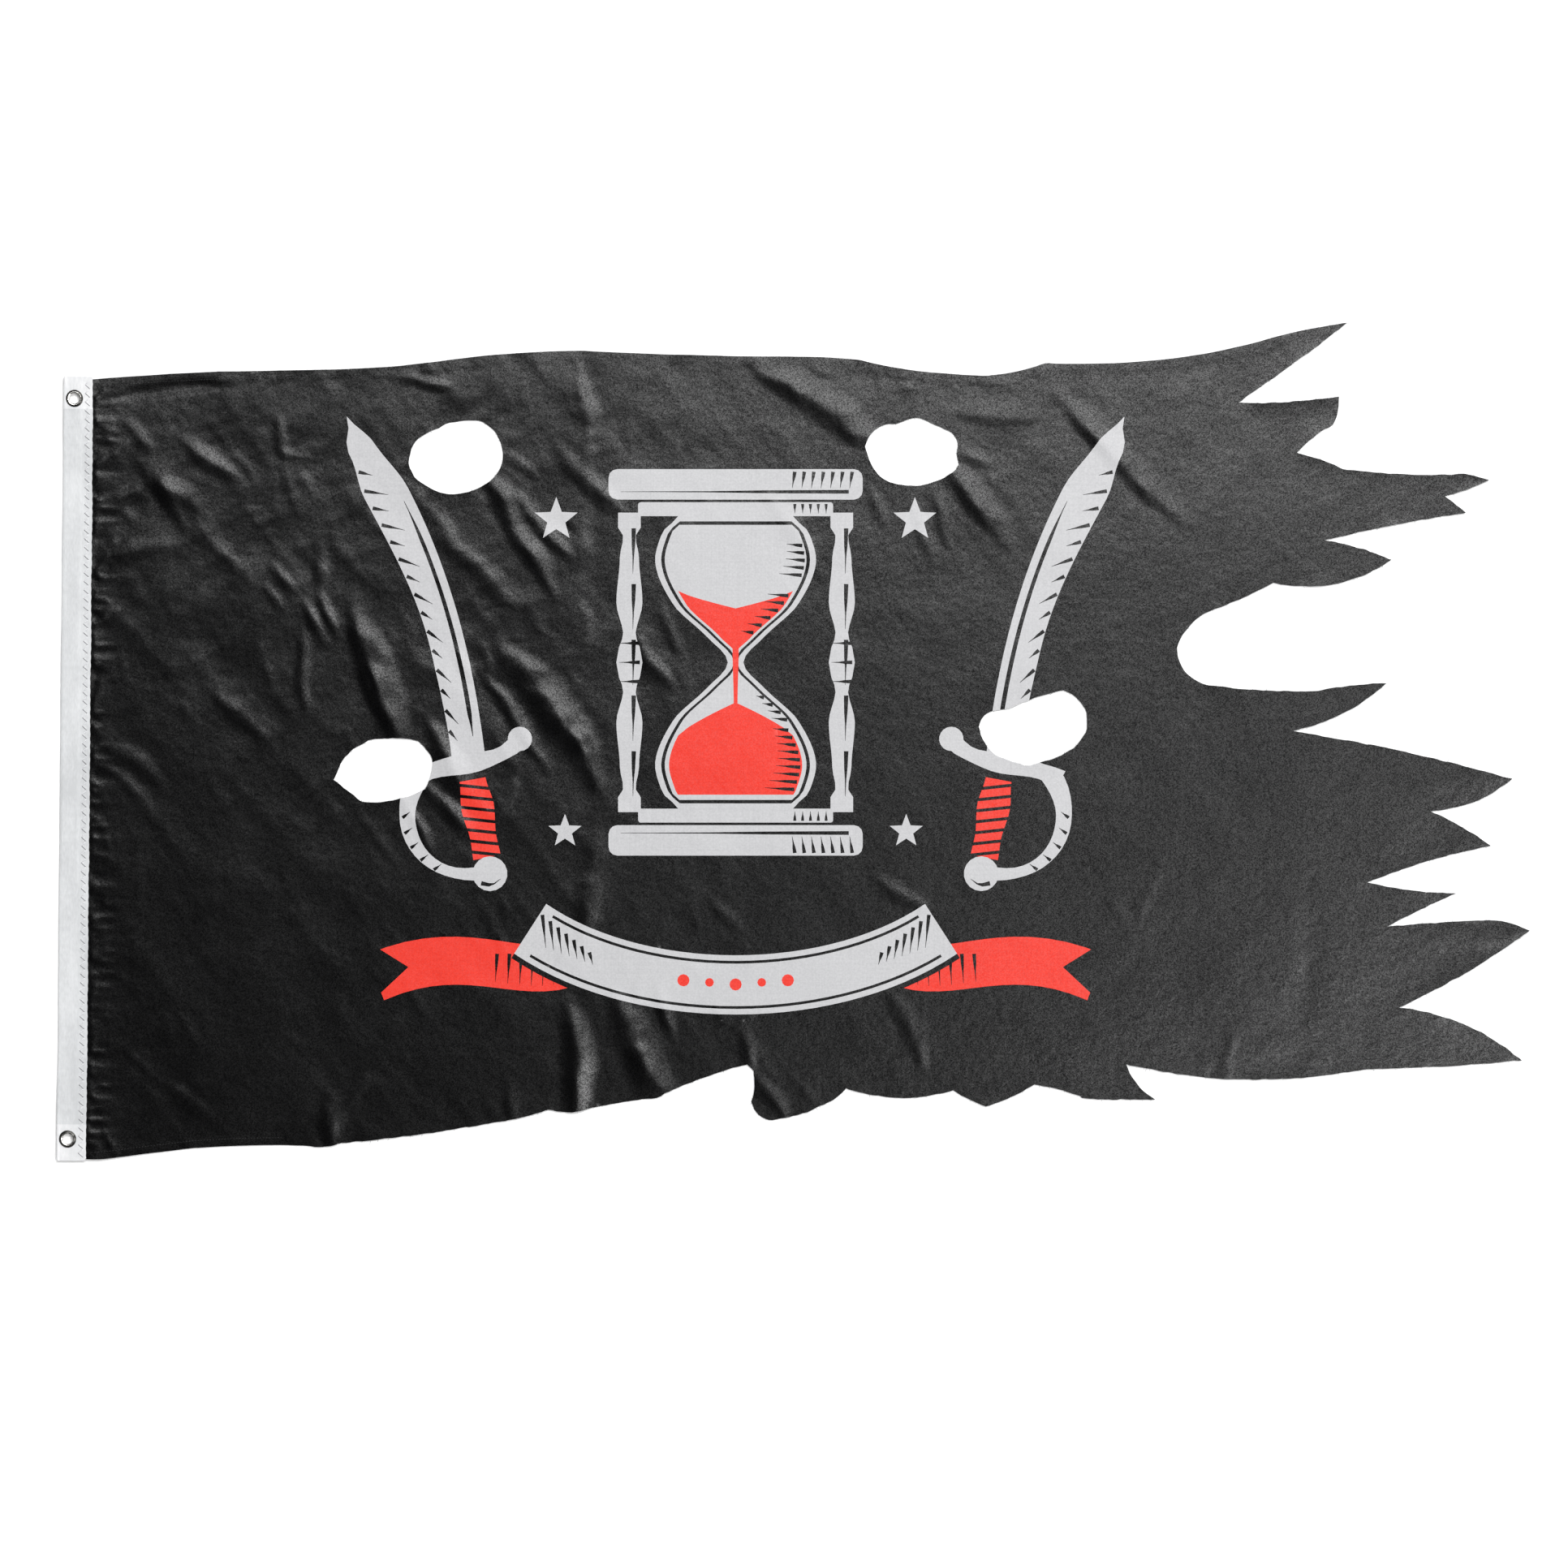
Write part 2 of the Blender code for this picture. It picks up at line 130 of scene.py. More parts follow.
# The cloth
SHEET_THICK = 0.4
REST_LIFT = 1.1
HEM_WIDTH = 10
HEM_STEP = 2.0
HEM_RISE = 0.08
HEM_LINE_STEP = 9
HEM_HEAD_END = 1462
HEM_FOOT_END = 286
HEM_HEAD_LEVEL = 890
HEM_FOOT_LEVEL = 30
LEAST_LIFT = 0.05
SLIVER = 0.1
LEAST_CORNERS = 8
RIM_LEAST = 2.0
STRAIGHT = 0.002
RIM_STEP = 4.5
CORNER_DEG = 35
FINE_STEP = 5.0
LATTICE_BUDGET = 33000
PUCKERED_TO = 62
PUCKER_STEP = 2.6
PRINT_STEP = 7.0
CLEAR_OF_LINES = 2.2
FOLD_FADE = 0.08
STITCH_INSET = 1.6
STITCH_PITCH = 3.4
STITCH_LENGTH = 2.3
STITCH_DIPS = (-0.16, 0.05, -0.16)
STITCH_RADII = (0.1, 0.2, 0.1)
FRAY_SEED = 207
FRAY_SHARE = 0.2
FRAY_ROOT = 1.6
PRINT_PLACE = (780, 498)
MAP_MARGIN = 0.005
MAP_STRIP = 2.0

# The stage, in metres
FLOOR_SIZE = 9.0
FLOOR_DROP = 0.0003
CAMERA_ABOVE = (-0.0104, -0.0490)
FRAMED_WIDTH = 1.802
LENS = 85
SENSOR = 36
# Lights: name, place, diameter, watts
LIGHTS = (
    ("key", (1.35, 3.9, 8.0), 6.0, 840),
    ("second", (4.0, -1.6, 8.1), 2.2, 290),
    ("third", (-1.95, 2.3, 8.0), 1.2, 30),
    ("fourth", (1.7, -2.0, 8.0), 1.2, 65),
)

# The cloth's crumples: size, way they run in degrees, depth, seed
CREASES = (
    (52, -50, 0.50, 21),
    (40, 35, 0.40, 22),
    (24, -55, 0.25, 23),
    (17, 20, 0.16, 24),
    (10, -40, 0.08, 25),
)

Fold = namedtuple("Fold", "name x1 y1 x2 y2 bow height upper lower crest foot", defaults=(0.5, 0))
Shape = namedtuple("Shape", "ink points")

# How the cloth folds. Each row is a ridge, or a valley where its height is negative, from one end
# to the other. Upper is its half width on the left-hand side of that way, lower on the right-hand
# side. Crest 1 is a pressed line instead of a round back, and foot 1 is an upper side that ends in
# a sharp foot. The first 27 are the CAD model's main folds, at the height that they show.
FOLDS = [Fold(*row) for row in (
    ("top fold", 798, 914, 944, 820, 4, 3, 32, 19, 0.5, 0.2),
    ("crease under the hem", 605, 914, 605, 776, 0, 2.02, 17, 60, 1),
    ("crease's turn", 600, 796, 650, 738, 0, 1.25, 14, 20, 0.7),
    ("fold at the upper right hole", 1018, 806, 1092, 700, 0, 2.62, 26, 15),
    ("short fold over it", 1028, 858, 1124, 850, 3, 0.81, 22, 11),
    ("fly fold", 1148, 876, 1292, 736, -3, 2.12, 26, 15),
    ("fold under the upper left hole", 482, 806, 570, 650, 0, 2.75, 20, 16, 0.5, 0.3),
    ("soft fold beside it", 440, 712, 522, 638, 4, 1.26, 20, 18),
    ("fold over the lower left hole", 336, 646, 394, 474, -5, 5, 32, 18, 0.5, 0.8),
    ("long middle fold", 508, 584, 620, 432, 11, 4.12, 30, 28, 0.5, 0.3),
    ("thin middle fold", 488, 560, 566, 444, 2, 1.75, 12, 10, 0.5, 0.3),
    ("fold right of that hole", 430, 500, 496, 396, -6, 3.12, 19, 20, 0.5, 0.5),
    ("fold below that hole", 342, 404, 384, 346, 0, 0.54, 10, 10),
    ("upright lower fold", 620, 388, 598, 222, 4, 1.62, 22, 17),
    ("foot fold", 582, 184, 600, 34, 4, 3.75, 26, 22, 0.5, 0.5),
    ("slanting foot fold", 640, 188, 708, 58, 0, 3.25, 25, 32, 0.5, 0.3),
    ("lobe's fold", 800, 106, 840, 44, 0, 1.26, 13, 13),
    ("left edge fold", 30, 482, 122, 424, 14, 1.38, 17, 16, 0.5, 0.2),
    ("long left fold", 176, 640, 242, 700, 3, 0.81, 13, 20),
    ("upper left fold", 38, 738, 108, 786, 0, 0.9, 13, 15),
    ("hanging left fold", 256, 864, 262, 808, 0, 0.9, 8, 8),
    ("foot corner fold", 80, 126, 206, 26, 0, 0.72, 10, 16),
    ("short foot fold", 314, 78, 312, 6, 0, 1.5, 22, 14, 0.5, 0.2),
    ("fold by tear 9", 1440, 330, 1420, 126, 12, -0.59, 30, 24),
    ("lower fly fold", 1336, 86, 1354, 158, 0, 0.45, 10, 13),
    ("lifted tongue 6", 1560, 442, 1760, 424, 0, 1.25, 32, 32),
    ("lifted tongue 9", 1600, 256, 1770, 262, 0, 1.25, 32, 32),
    ("valley under the hem", 44, 872, 198, 892, 5, -2, 10, 10),
    ("thin valley below it", 60, 864, 114, 878, 0, -0.43, 5, 5),
    ("corner ridge", 72, 850, 112, 812, 0, 1.43, 14, 13),
    ("ridge right of it", 142, 830, 208, 784, 0, 1.43, 16, 15),
    ("saddle", 94, 804, 164, 750, 0, 1.72, 22, 18),
    ("ridge below the saddle", 116, 792, 150, 726, 0, 1.43, 16, 15),
    ("broad ridge at the tape", 38, 690, 126, 706, 0, 1.72, 20, 16),
    ("upper ridge at the tape", 36, 796, 88, 830, 0, 1.29, 14, 9),
    ("short ridge at the tape", 40, 846, 76, 832, 0, 0.86, 7, 8),
    ("long thin crease", 168, 720, 242, 748, 5, 0.38, 6, 6, 0.6),
    ("tick on the hanging fold", 256, 817, 294, 808, 0, 0.72, 5, 5),
    ("hanging fold's middle", 258, 806, 277, 742, 0, 0.72, 9, 9),
    ("thin line beside it", 278, 796, 304, 750, 0, 0.43, 7, 7),
    ("hanging fold's foot", 300, 724, 300, 640, 0, 0.86, 12, 12),
    ("short ridge beside that 1", 244, 686, 274, 652, 0, 1.14, 9, 10),
    ("short ridge beside that 2", 232, 660, 262, 630, 0, 0.72, 9, 9),
    ("twin ridge 1", 298, 654, 322, 600, 0, 1.57, 9, 9),
    ("twin ridge 2", 282, 644, 308, 590, 0, 1.43, 9, 9),
    ("narrow upright ridge", 283, 608, 287, 520, -2, 1.57, 11, 9),
    ("short thin ridge", 235, 598, 247, 550, 0, 0.72, 5, 5),
    ("lying corner", 186, 536, 246, 490, 0, 1.29, 18, 17),
    ("lying corner's tip", 170, 512, 202, 548, 0, 0.57, 5, 5, 0.8),
    ("crease from the tape", 40, 604, 76, 638, 0, 1.29, 8, 7),
    ("crease from the tape, end", 76, 638, 116, 664, 0, 0.43, 8, 8),
    ("hooked crease 1", 64, 592, 86, 542, 0, 0.43, 7, 7),
    ("hooked crease 2", 104, 542, 140, 578, 0, 0.52, 7, 8),
    ("second left edge fold", 40, 464, 102, 410, 5, 0.86, 10, 10),
    ("ridge at the tape 1", 42, 408, 62, 352, 0, 1, 10, 10),
    ("ridge at the tape 2", 40, 350, 72, 336, 0, 0.86, 9, 9),
    ("upright storage crease", 91, 430, 93, 150, 0, 0.23, 6, 6, 1),
    ("ridge from the hole 1", 398, 424, 426, 354, 0, 1.72, 11, 11),
    ("ridge from the hole 2", 424, 436, 484, 364, 2, 1.72, 14, 14),
    ("tick over that hole", 304, 488, 332, 494, 0, 0.62, 5, 5, 0.6),
    ("tick left of that hole", 331, 496, 338, 468, 0, 0.81, 5, 5, 0.6),
    ("level ridge", 134, 226, 202, 236, 0, 0.34, 6, 9),
    ("small lump", 138, 174, 168, 130, 0, 0.45, 9, 10),
    ("faint line 1", 316, 160, 338, 198, 0, 0.34, 7, 7),
    ("faint line 2", 346, 156, 378, 196, 0, 0.34, 7, 7),
    ("faint line 3", 372, 138, 400, 168, 0, 0.34, 7, 7),
    ("lump over the short fold", 326, 64, 368, 98, 0, 0.81, 9, 9),
    ("foot corner tick 1", 34, 94, 60, 82, 0, 0.62, 5, 5),
    ("foot corner tick 2", 54, 36, 74, 2, 0, 1, 7, 7),
    ("small foot fold", 520, 84, 524, 40, 0, 1.29, 16, 12),
    ("thin rising ridge", 556, 206, 604, 264, 0, 1, 7, 10),
    ("short falling ridge 1", 496, 272, 520, 234, 0, 1, 9, 9),
    ("short falling ridge 2", 510, 304, 530, 278, 0, 0.72, 5, 5, 0.8),
    ("storage crease, lower half", 604, 764, 604, 590, 0, 1.23, 18, 50, 1),
    ("second fold under that hole", 528, 760, 594, 688, -2, 2.15, 12, 11),
    ("ridge right of the left hole", 512, 812, 546, 782, 0, 1, 12, 10),
    ("ridge before the crease", 566, 826, 610, 764, 0, 1.1, 14, 12),
    ("dip before the crease", 570, 738, 596, 716, 0, -0.77, 9, 9),
    ("thin upright crease 1", 656, 852, 657, 796, 0, 0.37, 6, 6, 1),
    ("thin upright crease 2", 712, 840, 712, 808, 0, 0.31, 5, 5, 1),
    ("thin upright crease 3", 947, 906, 949, 868, 0, 0.33, 5, 5, 1),
    ("bright tick in the middle", 500, 487, 530, 452, 0, 0.86, 5, 5, 0.8),
    ("hooked ridge in the middle", 500, 388, 532, 450, -5, 1.14, 9, 8),
    ("steep tick in the middle", 450, 594, 478, 550, 0, 1.29, 7, 8),
    ("tick beside it", 484, 598, 500, 556, 0, 0.57, 7, 7),
    ("ridge in the print 1", 664, 606, 706, 538, 0, 1.76, 13, 15),
    ("ridge in the print 2", 690, 642, 718, 578, 0, 1.1, 9, 9),
    ("ridge in the print 3", 812, 772, 880, 668, 0, 1.1, 22, 18),
    ("ridge under the right hole 1", 1006, 780, 1028, 704, 0, 0.88, 13, 8),
    ("ridge under the right hole 2", 984, 758, 1008, 686, 0, 0.88, 11, 8),
    ("ridge under the right hole 3", 940, 774, 952, 726, 0, 0.77, 10, 8),
    ("ridge right of the right hole", 1034, 814, 1084, 796, 0, 0.77, 12, 9),
    ("ridge under the hem there", 1052, 896, 1114, 888, 0, 0.25, 9, 9),
    ("soft ridge before the fly fold", 1104, 836, 1148, 788, 0, 0.28, 14, 11),
    ("fly fold's tail", 1246, 780, 1268, 736, 0, 0.3, 8, 8),
    ("dash in the top hem 1", 388, 900, 456, 888, -3, 1.29, 9, 7),
    ("dash in the top hem 2", 866, 911, 898, 902, 0, 0.66, 7, 5),
    ("dash in the top hem 3", 972, 889, 992, 884, 0, 0.48, 6, 5),
    ("soft fly ridge", 1078, 652, 1102, 580, 0, 0.25, 13, 12),
    ("fly tick", 1160, 566, 1194, 550, 0, 0.2, 9, 9),
    ("ridge at the bay", 1280, 560, 1306, 544, 0, 0.5, 8, 9),
    ("ridge at tear 6", 1414, 498, 1440, 482, 0, 0.4, 8, 8),
    ("faint top ridge", 1246, 900, 1280, 862, 0, 0.15, 9, 9),
    ("tick at tear 8", 1476, 314, 1512, 322, 0, 0.2, 8, 8),
    ("soft V, left", 1190, 306, 1242, 260, 0, 0.4, 13, 10),
    ("soft V, right", 1236, 258, 1274, 336, 0, 0.4, 12, 11),
    ("ridge below the V", 1222, 212, 1234, 172, 0, 0.15, 8, 8),
    ("upright fly line 1", 997, 346, 997, 70, 0, 0.22, 8, 6, 1),
    ("upright fly line 2", 1282, 548, 1284, 390, 0, 0.13, 8, 10, 1),
    ("upright fly line 3", 1309, 410, 1309, 120, 0, -0.13, 14, 8, 1),
    ("upright fly line 4", 1366, 540, 1372, 470, 0, 0.2, 10, 12),
    ("upright fly line 5", 1540, 788, 1544, 734, 0, 0.2, 9, 9),
    ("dip at the fly's foot", 1316, 92, 1336, 116, 0, -0.3, 8, 7),
    ("dash at the fly's foot", 1430, 124, 1452, 102, 0, 0.3, 7, 7),
    ("curved ridge over the foot", 682, 242, 668, 166, -4, 0.88, 8, 9),
    ("dark curve beside it", 690, 204, 712, 138, -3, 1.32, 14, 8),
    ("lower storage crease", 728, 312, 724, 140, 0, 0.22, 5, 6, 1),
    ("short ridge at that crease", 730, 306, 740, 262, 0, 0.44, 8, 8),
    ("soft lower ridge 1", 750, 306, 794, 260, 0, 0.66, 13, 11),
    ("soft lower ridge 2", 726, 232, 748, 206, 0, 0.48, 9, 9),
    ("soft lower ridge 3", 752, 188, 774, 152, 0, 0.48, 8, 9),
    ("soft lower ridge 4", 780, 150, 812, 184, 0, 0.55, 8, 9),
    ("ridge over the lobe", 792, 146, 800, 98, 0, 1.1, 14, 12),
    ("lobe's second ridge", 848, 96, 876, 60, 0, 0.55, 9, 9),
    ("short lower ridge", 942, 322, 1006, 286, 0, 1.32, 15, 14),
    ("rising line below it", 958, 236, 980, 274, 0, 0.33, 8, 6),
    ("ridge over the scallops", 960, 186, 1002, 108, 0, 0.99, 22, 15),
    ("level storage crease", 60, 452, 1420, 447, 0, 0.17, 5, 5, 1),
)]


# ---------------------------------------------------------------- places and small helpers

def smooth_step(value):
    value = np.clip(value, 0.0, 1.0)
    return value * value * (3 - 2 * value)


def blend(low, high, share):
    return low + (high - low) * share


def curve_through(p0, p1, p2, p3, t):
    """A smooth curve at share t of its way from p1 to p2, with p0 before them and p3 after."""
    return 0.5 * (2 * p1 + (p2 - p0) * t + (2 * p0 - 5 * p1 + 4 * p2 - p3) * t * t
                  + (3 * p1 - p0 - 3 * p2 + p3) * t ** 3)


def smooth_noise(x, y, scale, seed):
    """Smooth noise from -1 to 1 over the plane, its humps about scale across."""
    size = 64
    table = np.random.default_rng(seed).uniform(-1, 1, (size, size))
    px, py = np.asarray(x) / scale + size, np.asarray(y) / scale + size
    ix, iy = np.floor(px).astype(int), np.floor(py).astype(int)
    fx, fy = px - ix, py - iy
    fx = fx ** 3 * (fx * (fx * 6 - 15) + 10)
    fy = fy ** 3 * (fy * (fy * 6 - 15) + 10)
    low = blend(table[ix % size, iy % size], table[(ix + 1) % size, iy % size], fx)
    high = blend(table[ix % size, (iy + 1) % size], table[(ix + 1) % size, (iy + 1) % size], fx)
    return blend(low, high, fy)


class Frame:
    """Turns the tables' millimetres into the CAD's metres, and back."""

    def __init__(self):
        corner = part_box("heading_tape")[0]
        self.x, self.y = corner[0], corner[1]

    def metres(self, x, y, z):
        return np.column_stack((np.asarray(x) * MM + self.x, np.asarray(y) * MM + self.y,
                                np.broadcast_to(np.asarray(z) * MM, np.shape(x))))

    def table(self, co):
        return (co[0] - self.x) / MM, (co[1] - self.y) / MM


def heading_place(u, v):
    """The tables' x, y from the heading's u, across it from its fold, and v, up from its foot."""
    return u * LEAN_COS + v * LEAN_SIN, -u * LEAN_SIN + v * LEAN_COS


def heading_measures(x, y):
    """The heading's own u and v from x, y."""
    return x * LEAN_COS - y * LEAN_SIN, x * LEAN_SIN + y * LEAN_COS


def heading_end_share(v):
    """1 where an eyelet holds the heading up, 0 where it lies on the floor."""
    low, high = EYELET_STATIONS
    nearest = np.minimum(np.abs(v - low), np.abs(v - high))
    return 1 - smooth_step((nearest - HELD_LEVEL) / HELD_RAMP)


def heading_middle(v):
    """Height of the plane between the heading's two layers."""
    held = heading_end_share(v)
    ripple = 0.12 * smooth_noise(v, v * 0, 37, 41)
    return blend(MIDDLE_BETWEEN, MIDDLE_AT_END, held) + ripple * (1 - held)


# ---------------------------------------------------------------- the cloth's heights

def ridge(x, y, row):
    """One fold: a ridge that dies away at both ends."""
    run_x, run_y = row.x2 - row.x1, row.y2 - row.y1
    length = math.hypot(run_x, run_y)
    along_x, along_y = run_x / length, run_y / length
    t = ((x - row.x1) * along_x + (y - row.y1) * along_y) / length
    sideways = along_x * (y - row.y1) - along_y * (x - row.x1) - 4 * row.bow * t * (1 - t)
    ends = np.sin(math.pi * np.clip((t + FOLD_FADE) / (1 + 2 * FOLD_FADE), 0, 1))
    width = blend(0.4, 1.0, ends)
    share = np.where(sideways > 0, sideways / (row.upper * width), -sideways / (row.lower * width))
    share = np.clip(share, 0, 1)
    wave = np.cos(share * math.pi / 2)
    rounded = np.where(sideways > 0, blend(wave ** 2, wave, row.foot), wave ** 2)
    creased = (1 - share) ** 1.5
    return row.height * blend(rounded, creased, row.crest) * ends


def creases(x, y, scale, turn_deg, seed):
    """Crumples with sharp backs, from -1 to 1, twice as long along turn_deg as across."""
    cos, sin = math.cos(math.radians(turn_deg)), math.sin(math.radians(turn_deg))
    return 1 - 2 * np.abs(smooth_noise((x * cos + y * sin) / 2, y * cos - x * sin, scale, seed))


def cloth_height(x, y, hem_distance, torn_distance):
    """Height of the cloth's underside over the floor."""
    u, v = heading_measures(x, y)
    warp_x = x + 5 * smooth_noise(x, y, 60, 3) + 2 * smooth_noise(x, y, 24, 13)
    warp_y = y + 5 * smooth_noise(x, y, 60, 4) + 2 * smooth_noise(x, y, 24, 14)
    height = REST_LIFT + 0.35 * smooth_noise(x, y, 170, 5) + 0.2 * smooth_noise(x, y, 80, 6)
    folds = sum(ridge(warp_x, warp_y, row) for row in FOLDS)
    height = height + folds * (1 + 0.5 * smooth_noise(x, y, 24, 31))
    # crumpled softly, most of all near the heading and in the upper left
    near_heading = 1 - smooth_step((x - 450) / 500)
    crumpled = blend(0.35, 1.0, near_heading * blend(0.45, 1.0, smooth_step((y - 350) / 300)))
    for size, turn_deg, depth, seed in CREASES:
        height = height + crumpled * depth * creases(warp_x, warp_y, size, turn_deg, seed)
    # gathered by the hems
    height = height + HEM_RISE * smooth_step((HEM_WIDTH + HEM_STEP - hem_distance) / HEM_STEP)
    height = height + 0.1 * smooth_noise(x + 0.5 * y, y * 0.25, 8, 81) * np.exp(-hem_distance / 16)
    # torn edges curl up here and there
    curl = np.maximum(smooth_noise(x, y, 48, 91) + 0.1, 0)
    height = height + 0.6 * curl * np.exp(-torn_distance / 8)
    # drawn flat into the heading, and puckered by its sewing
    from_tape = np.maximum(u - HEADING_WIDTH, 0)
    inside = heading_middle(v) - SHEET_THICK / 2
    height = blend(inside, height, smooth_step((from_tape + 2) / RAMP))
    pucker = 1.2 * creases(x - 0.4 * y, y, 13, 0, 71) * np.exp(-from_tape / 20)
    pucker = pucker + 0.5 * creases(x * 0.5 + 0.6 * y, y, 6, 0, 72) * np.exp(-from_tape / 10)
    return np.maximum(height + pucker * smooth_step(from_tape / 5), LEAST_LIFT)


# ---------------------------------------------------------------- the cloth's outline

def rim_loops(node, frame):
    """The cloth's outline, then its holes: closed lists of corners in millimetres."""
    bm = bmesh.new()
    bm.from_mesh(node.data)
    bmesh.ops.remove_doubles(bm, verts=bm.verts, dist=SLIVER * MM)
    bmesh.ops.dissolve_degenerate(bm, dist=SLIVER * MM, edges=bm.edges)
    bm.verts.index_update()
    bm.normal_update()
    following = {}
    for edge in bm.edges:
        faces = edge.link_faces
        tops = [face for face in faces if face.normal.z > 0.3]
        if len(faces) == 2 and len(tops) == 1:
            a, b = edge.verts
            following.setdefault(a.index, []).append(b.index)
            following.setdefault(b.index, []).append(a.index)
    bm.verts.ensure_lookup_table()
    places = {index: frame.table(bm.verts[index].co) for index in following}
    bm.free()
    loops, seen = [], set()
    for start in following:
        if start in seen:
            continue
        loop, here, before = [], start, None
        while here not in seen:
            seen.add(here)
            loop.append(places[here])
            onward = [index for index in following[here] if index != before and index not in seen]
            before = here
            here = max(onward, key=lambda index: math.dist(places[index], places[before]),
                       default=start)
        if len(loop) > LEAST_CORNERS:
            loops.append(np.array(loop))
    loops.sort(key=lambda loop: -abs(signed_area(loop)))
    return [loop if signed_area(loop) > 0 else loop[::-1] for loop in loops]


def signed_area(loop):
    x, y = loop[:, 0], loop[:, 1]
    return 0.5 * float(np.sum(x * np.roll(y, -1) - np.roll(x, -1) * y))


def thinned(loop, least):
    """The loop without corners closer than least to the one before, or on a straight line."""
    kept = [loop[0]]
    for point in loop[1:]:
        if math.dist(point, kept[-1]) > least:
            kept.append(point)
    kept = np.array(kept)
    ahead = np.roll(kept, -1, axis=0) - kept
    back = kept - np.roll(kept, 1, axis=0)
    turn = ahead[:, 0] * back[:, 1] - ahead[:, 1] * back[:, 0]
    straight = np.abs(turn) < STRAIGHT * np.hypot(*ahead.T) * np.hypot(*back.T)
    return kept[~straight]


def rounded_loop(loop):
    """The loop with points every few millimetres, curved between the sharp corners it keeps."""
    count = len(loop)
    back = loop - np.roll(loop, 1, axis=0)
    ahead = np.roll(loop, -1, axis=0) - loop
    turn = np.arctan2(back[:, 0] * ahead[:, 1] - back[:, 1] * ahead[:, 0], (back * ahead).sum(axis=1))
    corner = np.abs(turn) > math.radians(CORNER_DEG)
    points = []
    for i in range(count):
        p1, p2 = loop[i], loop[(i + 1) % count]
        p0 = p1 - (p2 - p1) if corner[i] else loop[i - 1]
        p3 = p2 + (p2 - p1) if corner[(i + 1) % count] else loop[(i + 2) % count]
        steps = max(1, round(math.dist(p1, p2) / RIM_STEP))
        for step in range(steps):
            points.append(curve_through(p0, p1, p2, p3, step / steps))
    return np.array(points)


def outward_normals(loop):
    run = np.roll(loop, -1, axis=0) - np.roll(loop, 1, axis=0)
    length = np.hypot(run[:, 0], run[:, 1])[:, None]
    return np.column_stack((run[:, 1], -run[:, 0])) / np.maximum(length, 1e-6)


def hemmed_share(loop):
    """1 along the hems and inside the heading, 0 along torn edges."""
    normals = outward_normals(loop)
    u, _ = heading_measures(loop[:, 0], loop[:, 1])
    top = (normals[:, 1] > 0.7) & (loop[:, 1] > HEM_HEAD_LEVEL) & (loop[:, 0] < HEM_HEAD_END)
    foot = (normals[:, 1] < -0.7) & (loop[:, 1] < HEM_FOOT_LEVEL) & (loop[:, 0] < HEM_FOOT_END)
    return np.where(top | foot | (u < HEADING_WIDTH + 6), 1.0, 0.0)


def worn_loop(loop):
    """The loop with the small wobble of torn cloth; hems only waver."""
    hemmed = hemmed_share(loop)
    normals = outward_normals(loop)
    x, y = loop[:, 0], loop[:, 1]
    torn = 0.5 * smooth_noise(x, y, 9, 101) + 0.3 * smooth_noise(x, y, 4.6, 102)
    sewn = 0.25 * smooth_noise(x, y, 26, 103)
    u, _ = heading_measures(x, y)
    shift = blend(torn, sewn, hemmed) * smooth_step((u - HEADING_WIDTH) / 10)
    return loop + normals * shift[:, None]


def distance_to(points, x, y):
    """Distance from each place to the nearest of the points, or far away where there are none."""
    tree = kdtree.KDTree(len(points))
    for index, (px, py) in enumerate(points):
        tree.insert((px, py, 0), index)
    tree.balance()
    return np.array([tree.find((px, py, 0))[2] for px, py in zip(x, y)])


def inside_polygon(x, y, polygon):
    """Whether each place lies in the polygon."""
    inside = np.zeros(len(x), dtype=bool)
    for (x1, y1), (x2, y2) in zip(polygon, np.roll(polygon, -1, axis=0)):
        if y1 == y2:
            continue
        crosses = (y1 > y) != (y2 > y)
        inside ^= crosses & (x < x1 + (y - y1) * (x2 - x1) / (y2 - y1))
    return inside


# ---------------------------------------------------------------- the print

def bezier(a, b, c, d, count):
    """Points along a cubic curve, both ends included."""
    points = []
    for index in range(count + 1):
        t = index / count
        s = 1 - t
        weights = (s * s * s, 3 * s * s * t, 3 * s * t * t, t * t * t)
        points.append((sum(w * p[0] for w, p in zip(weights, (a, b, c, d))),
                       sum(w * p[1] for w, p in zip(weights, (a, b, c, d)))))
    return points


def width_at(table, t):
    """The half width at share t of the way, by a table of (share, half width)."""
    for (t0, w0), (t1, w1) in zip(table, table[1:]):
        if t <= t1:
            return blend(w0, w1, float(smooth_step((t - t0) / (t1 - t0))))
    return table[-1][1]


def side_points(spine, table, side):
    """The spine's points moved sideways by a width that varies along it."""
    points = []
    last = len(spine) - 1
    for index, (x, y) in enumerate(spine):
        x0, y0 = spine[max(index - 1, 0)]
        x1, y1 = spine[min(index + 1, last)]
        shift = side * width_at(table, index / last) / math.dist((x0, y0), (x1, y1))
        points.append((x - (y1 - y0) * shift, y + (x1 - x0) * shift))
    return points


def band(ink, spine, left, right=None):
    """A strip along a spine; left and right are its width tables."""
    return Shape(ink, side_points(spine, left, 1) + side_points(spine, right or left, -1)[::-1])


def even(half_width):
    """The width table of a strip that is as wide all along."""
    return (0, half_width), (1, half_width)


def stroke(a, b, half_width, bow=0.0):
    """A pen stroke of bare cloth that starts broad and ends in a point."""
    mid = ((a[0] + b[0]) / 2 - (b[1] - a[1]) * bow, (a[1] + b[1]) / 2 + (b[0] - a[0]) * bow)
    return band("bare", bezier(a, mid, mid, b, 3), ((0, half_width), (1, 0.2)))


